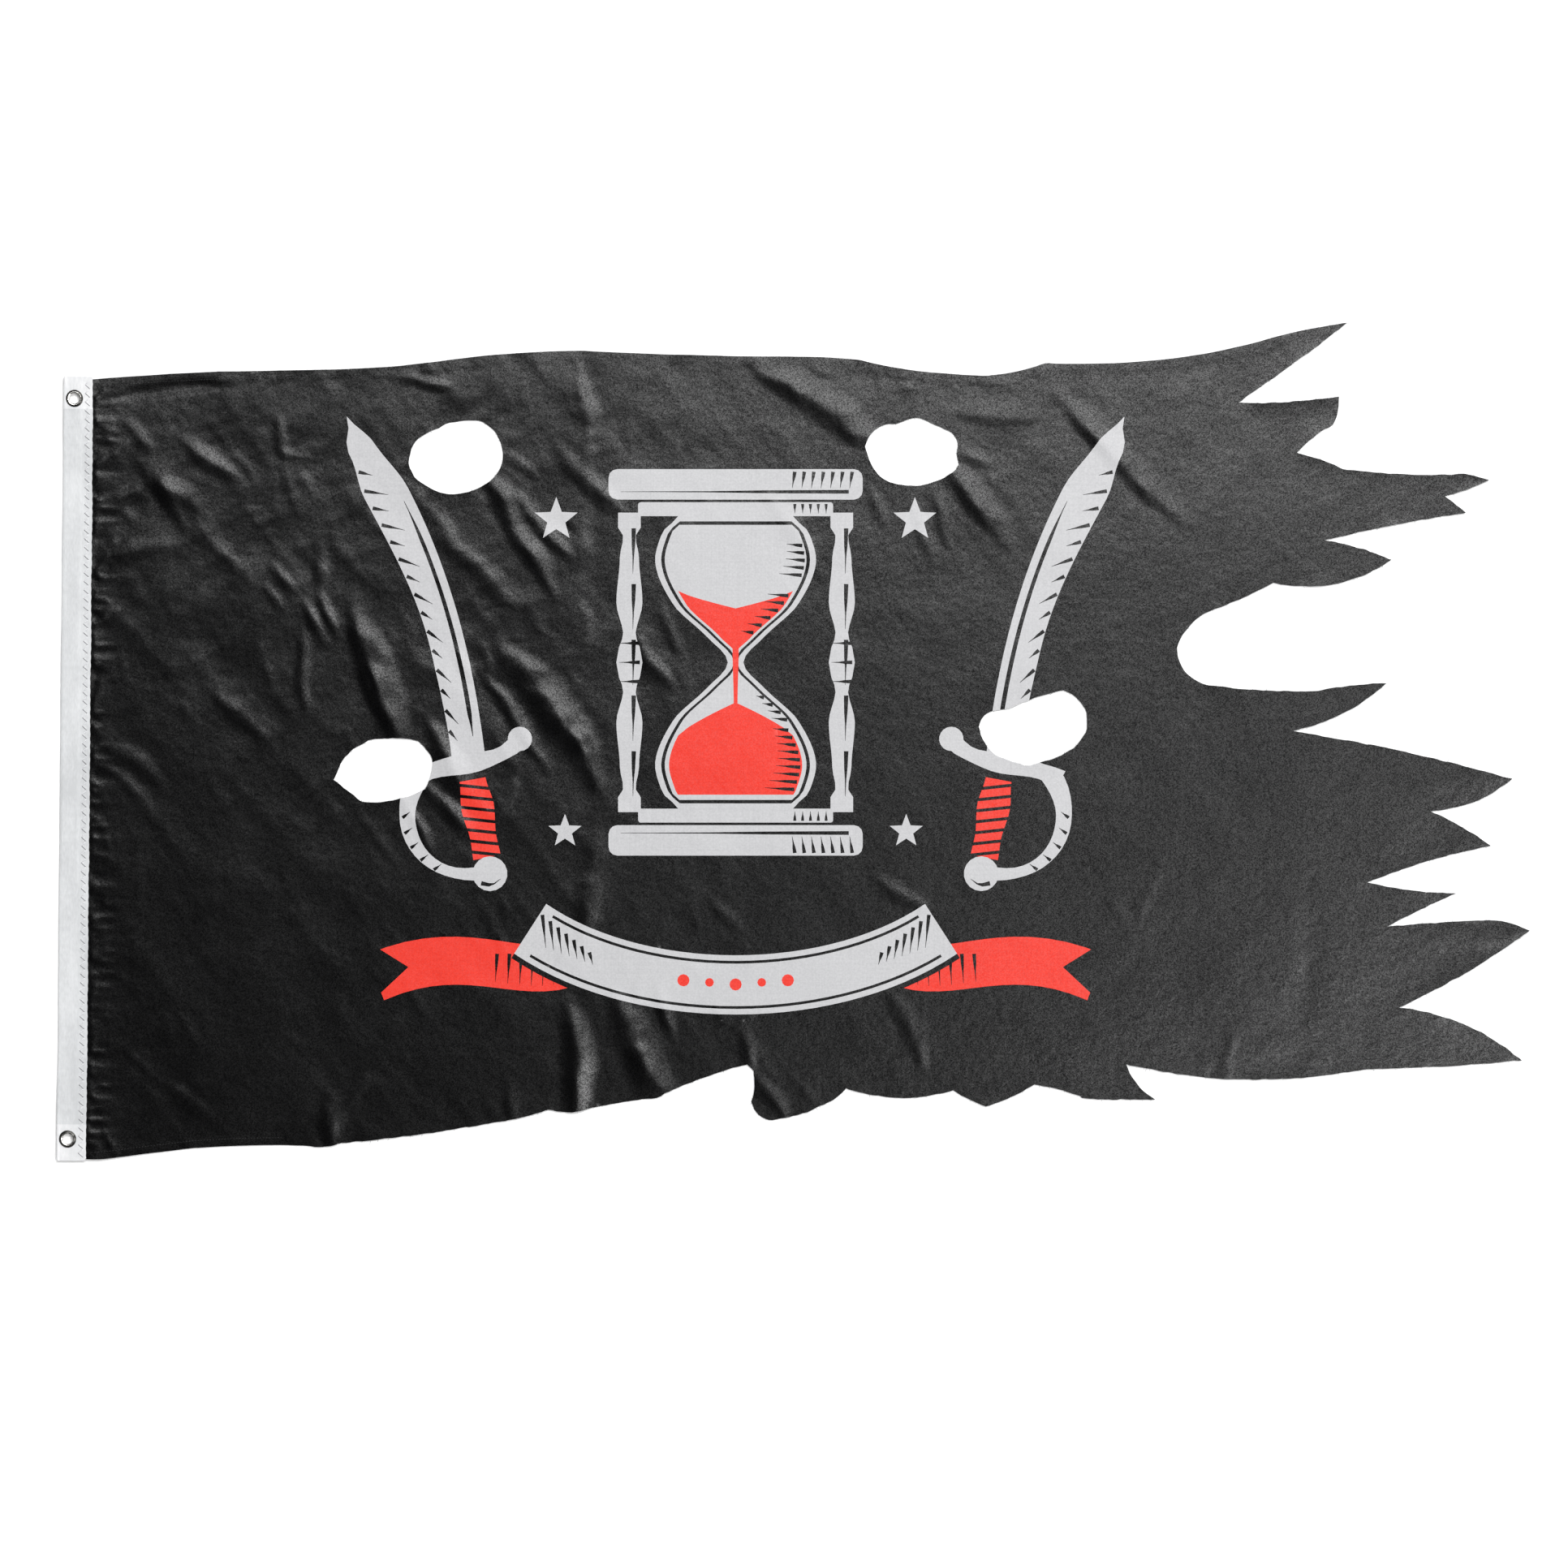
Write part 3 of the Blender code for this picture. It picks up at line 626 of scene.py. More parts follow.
def ring_points(x, y, radii, first_deg=0):
    """Points evenly round a place, as far from it as radii say, the first towards first_deg."""
    turn = 2 * math.pi / len(radii)
    points = []
    for index, radius in enumerate(radii):
        angle = math.radians(first_deg) + turn * index
        points.append((x + radius * math.cos(angle), y + radius * math.sin(angle)))
    return points


def disc(ink, x, y, radius, count=18):
    return Shape(ink, ring_points(x, y, [radius] * count))


def star(ink, x, y, radius):
    return Shape(ink, ring_points(x, y, [radius, radius * 0.42] * 5, 90))


def slab(ink, left, low, right, high, corner):
    """A plate with rounded corners."""
    points = []
    for x, y, first in ((right - corner, high - corner, 0), (left + corner, high - corner, 90),
                        (left + corner, low + corner, 180), (right - corner, low + corner, 270)):
        for step in range(4):
            angle = math.radians(first + 30 * step)
            points.append((x + corner * math.cos(angle), y + corner * math.sin(angle)))
    return Shape(ink, points)


def moved(shapes, dx=0.0, dy=0.0, turn_deg=0.0, mirror=False):
    """The shapes turned, then moved, then perhaps mirrored left to right."""
    cos, sin = math.cos(math.radians(turn_deg)), math.sin(math.radians(turn_deg))
    result = []
    for shape in shapes:
        points = [(x * cos - y * sin + dx, x * sin + y * cos + dy) for x, y in shape.points]
        if mirror:
            points = [(-x, y) for x, y in points][::-1]
        result.append(Shape(shape.ink, points))
    return result


# Half width of the glass at heights over its waist
GLASS = ((-168, 66), (-150, 84), (-112, 92), (-64, 70), (-26, 30), (0, 9),
         (26, 30), (64, 70), (112, 92), (150, 84), (168, 66))


def glass_half_width(y):
    """Half the glass's width at a height, on a smooth curve through its table."""
    index = 0
    while index < len(GLASS) - 2 and y > GLASS[index + 1][0]:
        index += 1
    (y1, w1), (y2, w2) = GLASS[index], GLASS[index + 1]
    w0 = GLASS[max(index - 1, 0)][1]
    w3 = GLASS[min(index + 2, len(GLASS) - 1)][1]
    return curve_through(w0, w1, w2, w3, (y - y1) / (y2 - y1))


def glass_shape(ink, inset, low, high, count, rise=None):
    """The glass between two heights, drawn in by inset. Its top is level, or rises in the middle."""
    heights = [low + (high - low) * i / count for i in range(count + 1)]
    right = [(max(glass_half_width(y) - inset, 1.5), y) for y in heights]
    cap = []
    if rise is not None:
        reach = glass_half_width(high) - inset
        for i in range(1, 12):
            share = 1 - 2 * i / 12
            cap.append((reach * share, high + rise * (1 - abs(share)) ** 0.8))
    return Shape(ink, right + cap + [(-x, y) for x, y in right[::-1]])


def hourglass():
    """An hourglass with two turned posts between two plates, its middle at the origin."""
    turned = ((0, 13), (0.05, 13), (0.08, 7), (0.15, 11), (0.3, 15), (0.41, 7), (0.45, 12), (0.5, 15),
              (0.55, 12), (0.59, 7), (0.7, 15), (0.85, 11), (0.92, 7), (0.95, 13), (1, 13))
    for side in (-1, 1):
        post = [(side * 122, -172 + 344 * i / 40) for i in range(41)]
        yield band("white", post, turned)
        for y in range(-128, 130, 64):
            yield stroke((side * 122 + 5, y + 26), (side * 122 + 4, y - 26), 2.6)
        for y in (-22, 0, 22):
            yield stroke((side * 122 + 12, y), (side * 122 - 12, y), 2.2)
    # the glass and its sand
    yield glass_shape("white", 0, -168, 168, 44)
    yield glass_shape("bare", 7, -162, 162, 44)
    yield glass_shape("white", 11, -158, 158, 44)
    yield glass_shape("red", 16, -152, -84, 16, rise=38)
    yield glass_shape("red", 15, 14, 82, 16, rise=-20)
    yield band("red", [(0, 16 - 8 * i) for i in range(9)], ((0, 3.5), (1, 2.2)))
    # shade down the right of the sand and of the empty glass
    for low, count, inset, reach, gain in ((-146, 9, 18, 34, 2), (34, 6, 17, 14, -2),
                                           (100, 5, 13, 26, 2), (-66, 4, 12, 18, 3)):
        for index in range(count):
            y = low + 8.5 * index
            right = glass_half_width(y) - inset
            yield stroke((right, y), (right - reach + gain * index, y + 2), 2.2)
    # foot and head, each a thin plate and a thick one
    for side in (-1, 1):
        low, high = sorted((side * 168, side * 184))
        yield slab("white", -112, low, 112, high, 3)
        low, high = sorted((side * 187, side * 222))
        yield slab("white", -146, low, 146, high, 10)
        yield stroke((130, side * 196), (-132, side * 196), 2.2)
        for index in range(7):
            x = 134 - 11 * index
            yield stroke((x, side * 219), (x - 3, side * 200), 2.2)
        for index in range(5):
            x = 104 - 9 * index
            yield stroke((x, side * 182), (x, side * 171), 1.8)


def cutlass():
    """A cutlass, point up, with its hilt round the origin."""
    spine = bezier((0, 58), (-10, 210), (4, 340), (66, 470), 36)
    back = ((0, 19), (0.75, 17), (0.9, 9), (1, 0.2))
    edge = ((0, 19), (0.3, 22), (0.78, 33), (0.92, 22), (1, 0.2))
    groove = side_points(spine[2:27], ((0, 8), (1, 6)), 1)
    yield band("white", spine, back, edge)
    yield band("bare", groove, ((0, 0.3), (0.1, 2.6), (0.8, 2.2), (1, 0.3)))
    # shade along the blade's edge
    outer, inner = side_points(spine, edge, -1), side_points(spine, ((0, 4), (1, 2)), -1)
    for index in range(3, 33, 2):
        reach = 0.6 if index % 4 == 3 else 0.85
        (x1, y1), (x2, y2) = outer[index], inner[index - 2]
        start = (blend(x1, x2, 0.1), blend(y1, y2, 0.1))
        yield stroke(start, (blend(x1, x2, reach), blend(y1, y2, reach)), 2.2)
    # knuckle bow, and the guard with its knob
    bow = bezier((58, 50), (104, 6), (84, -74), (4, -74), 18)
    guard = bezier((-60, 68), (-24, 40), (24, 64), (70, 46), 12)
    under_guard = bezier((-22, 39), (-6, 33), (16, 35), (30, 37), 6)
    yield band("white", bow, ((0, 12), (0.3, 9), (0.8, 6), (1, 8)))
    yield band("white", guard, ((0, 10), (0.2, 8), (0.5, 12), (0.85, 9), (1, 12)))
    yield disc("white", -62, 70, 14)
    yield band("bare", under_guard, ((0, 0.4), (0.5, 2.6), (1, 0.4)))
    # bound grip, and the pommel
    grip = [(0.0, 34 - 7.6 * i) for i in range(13)]
    yield band("red", grip, ((0, 15), (0.35, 19), (0.75, 15), (1, 16)))
    for y in range(24, -55, -13):
        turn = bezier((-22, y - 5), (-8, y - 1), (8, y + 4), (22, y + 8), 3)
        yield band("bare", turn, even(1.8))
    yield disc("white", 0, -76, 20)
    yield stroke((12, -85), (-11, -84), 2.6, 0.25)
    for x, y in bow[5:15:2]:
        yield stroke((x + 6, y - 2), (x - 4, y + 3), 2.0)


def ribbon():
    """A ribbon that hangs in a bow, its two tails behind it, and a row of dots on it."""
    for side in (-1, 1):
        tail = bezier((side * 170, -262), (side * 236, -306),
                      (side * 300, -238), (side * 414, -288), 16)
        yield band("red", tail, ((0, 26), (1, 28)))
        yield Shape("bare", [(side * 440, -236), (side * 376, -276), (side * 440, -336)])
        for index in range(6):
            x, y = tail[3 + index]
            yield stroke((x, y + 22 - 2 * index), (x + side * 2, y - 20), 2.2)
    spine = bezier((-236, -232), (-110, -318), (110, -318), (236, -232), 30)
    yield band("bare", spine, even(40))
    yield band("white", spine, even(34))
    for offset in (-26, 26):
        yield band("bare", side_points(spine[1:-1], even(offset), 1), even(1.6))
    for side in (-1, 1):
        for index in range(7):
            x, y = side * (222 - 9 * index), -236 - 6.2 * index
            yield stroke((x, y + 20 - index), (x - side * 4, y - 18 + 3 * index), 2.2)
    for index in range(5):
        radius = 7 if index % 2 == 0 else 5
        yield disc("red", -60 + 30 * index, -296 + abs(index - 2) * 2.4, radius, 12)


def artwork():
    """The print's shapes in painting order: two cutlasses, an hourglass, a ribbon and stars."""
    shapes = []
    for mirror in (False, True):
        shapes += moved(cutlass(), 296, -94, -10.5, mirror)
    shapes += moved(hourglass(), 0, 74)
    shapes += ribbon()
    for x, y, size in ((206, 238, 26), (-206, 238, 26), (196, -120, 20), (-196, -120, 20)):
        shapes.append(star("white", x, y, size))
    return moved(shapes, *PRINT_PLACE)


# ---------------------------------------------------------------- the cloth's mesh

def densified(points, step, closed):
    points = np.asarray(points, dtype=float)
    ends = np.roll(points, -1, axis=0) if closed else points[1:]
    result = []
    for a, b in zip(points, ends):
        count = max(1, math.ceil(math.dist(a, b) / step))
        result += [a + (b - a) * i / count for i in range(count)]
    if not closed:
        result.append(points[-1])
    return np.array(result)


def hem_runs(outline):
    """The stretches of the outline that are hemmed, each with its outward normals."""
    x, y = outline[:, 0], outline[:, 1]
    u, _ = heading_measures(x, y)
    hemmed = (hemmed_share(outline) > 0.5) & (u > HEADING_WIDTH - 6)
    normals = outward_normals(outline)
    runs = []
    for level in (hemmed & (y > 500), hemmed & (y < 500)):
        order = np.argsort(x[level])
        runs.append((outline[level][order], normals[level][order]))
    return runs


def beside_hem(run, inset, from_tape, from_end):
    """A line inset from a hem's edge, from the heading to short of the hem's end."""
    points, normals = run
    line = points - normals * inset
    return line[(line[:, 0] > HEADING_WIDTH + from_tape) & (line[:, 0] < points[-1, 0] - from_end)]


def hem_lines(runs):
    """Lines along the sewn edge of each hem, one at the foot of its step and one on top."""
    lines = []
    for run in runs:
        for inset in (HEM_WIDTH, HEM_WIDTH + HEM_STEP):
            lines.append(densified(beside_hem(run, inset, 6, 18), HEM_LINE_STEP, closed=False))
    return lines


def lattice(outline, detail):
    """A triangular lattice, twice as fine where the cloth bends most."""
    rise = FINE_STEP * math.sqrt(3) / 2
    low, high = outline.min(axis=0), outline.max(axis=0)
    rows = math.ceil((high[1] - low[1]) / rise)
    columns = math.ceil((high[0] - low[0]) / FINE_STEP) + 1
    row, column = np.meshgrid(np.arange(rows), np.arange(columns), indexing="ij")
    x = low[0] + (column + 0.5 * (row % 2)) * FINE_STEP
    y = low[1] + row * rise
    coarse = (row % 2 == 0) & ((column + row // 2) % 2 == 0)
    x, y, coarse = x.ravel(), y.ravel(), coarse.ravel()
    inside = inside_polygon(x, y, outline)
    x, y, coarse = x[inside], y[inside], coarse[inside]
    bend = detail(x, y)
    spare = LATTICE_BUDGET - int(coarse.sum())
    limit = np.sort(bend[~coarse])[::-1][min(spare, int((~coarse).sum()) - 1)]
    kept = coarse | (bend > limit)
    points = np.column_stack((x[kept], y[kept]))
    # closer still where the heading's sewing puckers the cloth
    points = points[heading_measures(*points.T)[0] > PUCKERED_TO]
    u, v = np.meshgrid(np.arange(HEADING_WIDTH - TUCK, PUCKERED_TO, PUCKER_STEP),
                       np.arange(0, HEADING_LENGTH, PUCKER_STEP))
    u = u + PUCKER_STEP / 2 * (np.arange(len(u)) % 2)[:, None]
    close = np.column_stack(heading_place(u.ravel(), v.ravel()))
    close = close[inside_polygon(close[:, 0], close[:, 1], outline)]
    return np.vstack((points, close))


def bending(height, outline):
    """A function that says how much the cloth bends at a place, read off a grid."""
    step = FINE_STEP
    low, high = outline.min(axis=0) - 20, outline.max(axis=0) + 20
    across, up = (np.arange(low[axis], high[axis], step) for axis in (0, 1))
    gx, gy = np.meshgrid(across, up, indexing="ij")
    z = height(gx.ravel(), gy.ravel()).reshape(gx.shape)
    bend = np.zeros_like(z)
    for axis in (0, 1):
        bend += np.abs(np.roll(z, 1, axis) + np.roll(z, -1, axis) - 2 * z)
    for _ in range(3):
        for axis in (0, 1):
            bend = (np.roll(bend, 1, axis) + 2 * bend + np.roll(bend, -1, axis)) / 4

    def measure(x, y):
        column = np.clip(((x - low[0]) / step).round().astype(int), 0, z.shape[0] - 1)
        row = np.clip(((y - low[1]) / step).round().astype(int), 0, z.shape[1] - 1)
        return bend[column, row]

    return measure


def triangulated(loops, lines, shapes, points):
    """Places and triangles of the cloth, with every line among the triangles' sides."""
    polylines = [(loop, True) for loop in loops] + [(line, False) for line in lines]
    polylines += [(densified(shape.points, PRINT_STEP, True), True) for shape in shapes]
    fixed = np.vstack([line for line, _ in polylines])
    near = distance_to(fixed, points[:, 0], points[:, 1])
    verts = np.vstack((fixed, points[near > CLEAR_OF_LINES]))
    edges, start = [], 0
    for line, closed in polylines:
        count = len(line)
        edges += [(start + i, start + (i + 1) % count) for i in range(count if closed else count - 1)]
        start += count
    result = geometry.delaunay_2d_cdt([Vector(place) for place in verts], edges, [], 0, 0.001, False)
    places = np.array([tuple(place) for place in result[0]])
    triangles = np.array([tuple(face) for face in result[2]])
    middle = places[triangles].mean(axis=1)
    kept = inside_polygon(middle[:, 0], middle[:, 1], loops[0])
    for hole in loops[1:]:
        kept &= ~inside_polygon(middle[:, 0], middle[:, 1], hole)
    triangles = triangles[kept]
    used, triangles = np.unique(triangles, return_inverse=True)
    return places[used], triangles.reshape(-1, 3)


def inks(places, triangles, shapes):
    """The ink of each triangle: 0 bare cloth, 1 white, 2 red. Later shapes cover earlier ones."""
    number = {"bare": 0, "white": 1, "red": 2}
    middle = places[triangles].mean(axis=1)
    ink = np.zeros(len(triangles), dtype=int)
    for shape in shapes:
        polygon = np.array(shape.points)
        low, high = polygon.min(axis=0), polygon.max(axis=0)
        close = np.flatnonzero(((middle >= low) & (middle <= high)).all(axis=1))
        inside = inside_polygon(middle[close, 0], middle[close, 1], polygon)
        ink[close[inside]] = number[shape.ink]
    return ink


def rim_edges(triangles):
    """The triangles' sides that only one triangle has, in the direction it runs."""
    sides = np.vstack((triangles[:, (0, 1)], triangles[:, (1, 2)], triangles[:, (2, 0)]))
    present = set(map(tuple, sides.tolist()))
    return sorted((a, b) for a, b in present if (b, a) not in present)


def cloth_sheet(frame, places, triangles, ink, height, materials):
    """The closed sheet: upper side, underside and the cut edge between them."""
    x, y = places[:, 0], places[:, 1]
    under = height(x, y)
    low = frame.metres(x, y, under)
    high = frame.metres(x, y, under + SHEET_THICK)
    count = len(places)
    rim = rim_edges(triangles)
    faces = triangles.tolist() + (triangles[:, ::-1] + count).tolist()
    faces += [(a + count, b + count, b, a) for a, b in rim]
    sheet = mesh_object("flag_cloth_sheet", np.vstack((high, low)), faces, materials)
    beside = {}
    for triangle, slot in zip(triangles.tolist(), ink.tolist()):
        for i in range(3):
            beside[(triangle[i], triangle[(i + 1) % 3])] = slot
    slots = ink.tolist() * 2 + [beside[side] for side in rim]
    sheet.data.polygons.foreach_set("material_index", slots)
    lay_out(sheet.data, rim, triangles, places)
    sharpen(sheet, 50)
    return sheet


def lay_out(mesh, rim, triangles, places):
    """A flat map of the sheet; the cut edge shares a narrow strip of it just inside the rim."""
    low, high = places.min(axis=0), places.max(axis=0)

    def mapped(spots):
        return MAP_MARGIN + (1 - 2 * MAP_MARGIN) * (spots - low) / (high - low)

    inward = {}
    for triangle, centre in zip(triangles.tolist(), places[triangles].mean(axis=1)):
        for corner in triangle:
            inward[corner] = centre
    flat = mapped(places)
    pulled = flat.copy()
    for corner in {index for side in rim for index in side}:
        towards = inward[corner] - places[corner]
        reach = min(1.0, MAP_STRIP / max(np.hypot(*towards), 1e-6))
        pulled[corner] = mapped(places[corner] + towards * reach)
    loops = np.empty(len(mesh.loops), dtype=int)
    mesh.loops.foreach_get("vertex_index", loops)
    coordinates = flat[loops % len(places)]
    in_walls = np.arange(len(loops)) >= 6 * len(triangles)
    strip = in_walls & (loops >= len(places))
    coordinates[strip] = pulled[loops[strip] % len(places)]
    mesh.uv_layers.new(name="OFBake").data.foreach_set("uv", coordinates.ravel())


# ---------------------------------------------------------------- meshes in general

def mesh_object(name, verts, faces, materials, smooth=True):
    mesh = bpy.data.meshes.new(name)
    mesh.from_pydata([tuple(v) for v in verts], [], faces)
    mesh.polygons.foreach_set("use_smooth", [smooth] * len(mesh.polygons))
    for material in materials:
        mesh.materials.append(material)
    mesh.update()
    obj = bpy.data.objects.new(name, mesh)
    bpy.context.scene.collection.objects.link(obj)
    return obj


def tube(points, radii, sides):
    """Verts and faces of a closed tube along points, in the points' own units."""
    points = [Vector(p) for p in points]
    verts, faces = [], []
    last = len(points) - 1
    for index, point in enumerate(points):
        along = (points[min(index + 1, last)] - points[max(index - 1, 0)]).normalized()
        across = along.cross(Vector((0, 0, 1)))
        if across.length < 1e-6:
            across = Vector((1, 0, 0))
        across.normalize()
        up = across.cross(along)
        for side in range(sides):
            angle = 2 * math.pi * side / sides
            verts.append(point + (across * math.cos(angle) + up * math.sin(angle)) * radii[index])
    for index in range(last):
        for side in range(sides):
            a, b = index * sides + side, index * sides + (side + 1) % sides
            faces.append((a, b, b + sides, a + sides))
    faces.append(tuple(reversed(range(sides))))
    faces.append(tuple(last * sides + side for side in range(sides)))
    return verts, faces


def joined(parts):
    """Several (verts, faces) as one."""
    verts, faces = [], []
    for part_verts, part_faces in parts:
        start = len(verts)
        verts += part_verts
        faces += [tuple(start + index for index in face) for face in part_faces]
    return verts, faces


# ---------------------------------------------------------------- the heading

def tape_turned_in(v):
    """1 where the tape's ends are turned in, round the eyelets."""
    foot, head = TURN_IN
    return smooth_step((foot - v) / 1.6) + smooth_step((v - HEADING_LENGTH + head) / 1.6)


def tape_gap(u, v):
    """Half the space between the heading's two layers: open by the fold, pinched by the seam."""
    turned_in = tape_turned_in(v)
    wide = blend(HALF_GAP_BETWEEN, HALF_GAP_AT_END, heading_end_share(v)) + TURN_IN_RISE * turned_in
    pinched = smooth_step((u - SEWN_FROM) / 2)
    gap = blend(wide, HALF_GAP_SEWN + 0.12 * turned_in, pinched)
    puff = 0.16 * smooth_noise(u, v, 6, 45) + 0.1 * smooth_noise(u * 0.4, v, 4.2, 46)
    return np.maximum(gap + puff - seam_groove(u, v), 0.15)


def seam_groove(u, v):
    """How deep the slanting strokes of the zigzag draw the tape in."""
    reach = (u - SEAM_U) / SEAM_HALF_WIDTH
    stroke = 0.5 + 0.5 * np.cos(2 * math.pi * (v / SEAM_PITCH + reach / 4))
    return SEAM_DEPTH * stroke ** 3 * np.exp(-reach ** 4) * (1 + 0.5 * smooth_noise(u, v, 9, 47))


def stitch_pull(v):
    """1 where the zigzag turns by the open edge, 0 half way to the next turn."""
    return 0.5 + 0.5 * np.cos(2 * math.pi * v / SEAM_PITCH)


def heading_sheet(frame, materials):
    """The folded tape: rows of points up the hoist, each once round outside, then once inside."""
    v = np.linspace(0, HEADING_LENGTH, round(HEADING_LENGTH / TAPE_STEP) + 1)[:, None]
    middle = heading_middle(v)
    edge_u = HEADING_WIDTH - 0.2 + 0.4 * stitch_pull(v) + 0.35 * smooth_noise(v, v * 0, 23, 43)
    fold_u = 0.45 * smooth_noise(v, v * 0 + 50, 70, 44)
    wide = tape_gap(fold_u + 4, v)
    flat_from = fold_u + wide + TAPE_THICK
    share = np.arange(TAPE_COLUMNS) / TAPE_COLUMNS
    low_u = blend(edge_u, flat_from, share)
    high_u = low_u[:, ::-1]
    low_gap, high_gap = tape_gap(low_u, v), tape_gap(high_u, v + UPPER_SHIFT)
    angle = np.linspace(0, math.pi, TAPE_TURN_POINTS)
    rings = []
    for thick in (TAPE_THICK, 0.0):
        u = np.hstack((low_u, flat_from - (wide + thick) * np.sin(angle), high_u))
        least = TAPE_LIFT + TAPE_THICK - thick
        low_z = np.maximum(middle - low_gap - thick, least)
        turn_z = np.maximum(middle - (wide + thick) * np.cos(angle), least)
        rings.append((u, np.hstack((low_z, turn_z, middle + high_gap + thick))))
    u, z = np.hstack([ring[0] for ring in rings]), np.hstack([ring[1] for ring in rings])
    # rounded corners
    end_distance = np.minimum(v, HEADING_LENGTH - v)
    beside = np.minimum(np.maximum(u, 0), np.maximum(HEADING_WIDTH - u, 0))
    cut = TAPE_CORNER - np.sqrt(TAPE_CORNER ** 2 - np.maximum(TAPE_CORNER - beside, 0) ** 2)
    shift = cut * np.maximum(1 - end_distance / 8, 0)
    x, y = heading_place(u, np.where(v < HEADING_LENGTH / 2, v + shift, v - shift))
    verts = frame.metres(x.ravel(), y.ravel(), z.ravel())
    faces = tube_faces(len(v), u.shape[1])
    sheet = mesh_object("heading_tape_sheet", verts.tolist(), faces, materials)
    face_outwards(sheet)
    # whiter where the turned-in ends double the tape
    strip = v.ravel()[:-1]
    doubled = (strip < TURN_IN[0]) | (strip > HEADING_LENGTH - TURN_IN[1])
    slots = np.zeros(len(faces), dtype=int)
    slots[:len(strip) * u.shape[1]] = np.repeat(doubled, u.shape[1])
    slots[len(strip) * u.shape[1]:] = 1
    sheet.data.polygons.foreach_set("material_index", slots)
    for station in EYELET_STATIONS:
        punch(sheet, frame, station)
    sharpen(sheet, 40)
    return sheet


def tube_faces(rows, stride):
    """Faces between rows of points, each row an outer and an inner line joined at both ends."""
    ring, faces = stride // 2, []
    for start in range(0, (rows - 1) * stride, stride):
        after = start + stride
        for i in range(ring - 1):
            a, b, c, d = start + i, start + i + 1, after + i + 1, after + i
            faces += [(a, b, c, d), (a + ring, d + ring, c + ring, b + ring)]
        faces.append((start, after, after + ring, start + ring))
        faces.append((start + ring - 1, start + stride - 1, after + stride - 1, after + ring - 1))
    for start in (0, (rows - 1) * stride):
        for i in range(ring - 1):
            faces.append((start + i, start + ring + i, start + ring + i + 1, start + i + 1))
    return faces


def face_outwards(obj):
    bm = bmesh.new()
    bm.from_mesh(obj.data)
    bmesh.ops.recalc_face_normals(bm, faces=bm.faces)
    bm.to_mesh(obj.data)
    bm.free()


def punch(sheet, frame, station):
    """Cuts an eyelet's hole through both layers of the heading."""
    x, y = heading_place(EYELET_INSET, station)
    bpy.ops.mesh.primitive_cylinder_add(
        vertices=PUNCH_SIDES, radius=(EYELET_BARREL + PUNCH_ROOM) * MM, depth=PUNCH_DEPTH * MM,
        location=(x * MM + frame.x, y * MM + frame.y, 0))
    cutter = bpy.context.object
    modifier = sheet.modifiers.new("hole", "BOOLEAN")
    modifier.operation = "DIFFERENCE"
    modifier.solver = "EXACT"
    modifier.object = cutter
    apply_modifiers(sheet)
    bpy.data.objects.remove(cutter, do_unlink=True)


def apply_modifiers(obj):
    bpy.context.view_layer.update()
    evaluated = obj.evaluated_get(bpy.context.evaluated_depsgraph_get())
    mesh = bpy.data.meshes.new_from_object(evaluated)
    old = obj.data
    obj.modifiers.clear()
    obj.data = mesh
    bpy.data.meshes.remove(old)


def sharpen(obj, degrees):
    """Smooth shading that breaks where the surface turns sharply."""
    bm = bmesh.new()
    bm.from_mesh(obj.data)
    for face in bm.faces:
        face.smooth = True
    for edge in bm.edges:
        edge.smooth = len(edge.link_faces) == 2 and edge.calc_face_angle(0) < math.radians(degrees)
    bm.to_mesh(obj.data)
    bm.free()


def seam_thread(frame, materials):
    """The zigzag thread along the heading's open edge, above and below."""
    strokes = round((HEADING_LENGTH - 2 * SEAM_START) / (SEAM_PITCH / 2))
    count = len(SEAM_SHARES)
    parts = []
    for side, shift in ((1, UPPER_SHIFT), (-1, 0)):
        stroke, step = np.divmod(np.arange(strokes * count), count)
        share, dip = np.take(SEAM_SHARES, step), np.take(SEAM_DIPS, step)
        reach = np.where(stroke % 2 == 0, SEAM_HALF_WIDTH, -SEAM_HALF_WIDTH)
        u = SEAM_U + reach * (1 - 2 * share)
        v = SEAM_START + (stroke + share) * SEAM_PITCH / 2
        lift = tape_gap(u, v + shift) + TAPE_THICK + THREAD_RADIUS / 2 - dip
        z = np.maximum(heading_middle(v) + side * lift, THREAD_RADIUS + 0.02)
        x, y = heading_place(u, v)
        parts.append(tube(frame.metres(x, y, z), [THREAD_RADIUS * MM] * len(u), THREAD_SIDES))
    verts, faces = joined(parts)
    obj = mesh_object("heading_seam_thread", verts, faces, materials)
    # the falling strokes are drawn deep into the tape, and their thread is painted grey as the shade
    # of their grooves
    for index, face in enumerate(obj.data.polygons):
        along = index % (len(faces) // 2) // THREAD_SIDES
        face.material_index = 1 - along // count % 2
    return obj


# ---------------------------------------------------------------- eyelets

def rim_profile(seat, crest, inner):
    """Radius and height along one rolled rim, from the bore over its back and in under its lip."""
    points = []
    for share in np.linspace(0, 1, RIM_POINTS):
        crown = math.sin(math.pi * min(share * 1.15 + 0.06, 1)) ** 0.45
        points.append((blend(EYELET_BORE, EYELET_FLANGE, share), blend(seat, crest, crown)))
    return points + [(EYELET_FLANGE - EYELET_LIP, inner), (EYELET_BARREL, inner)]


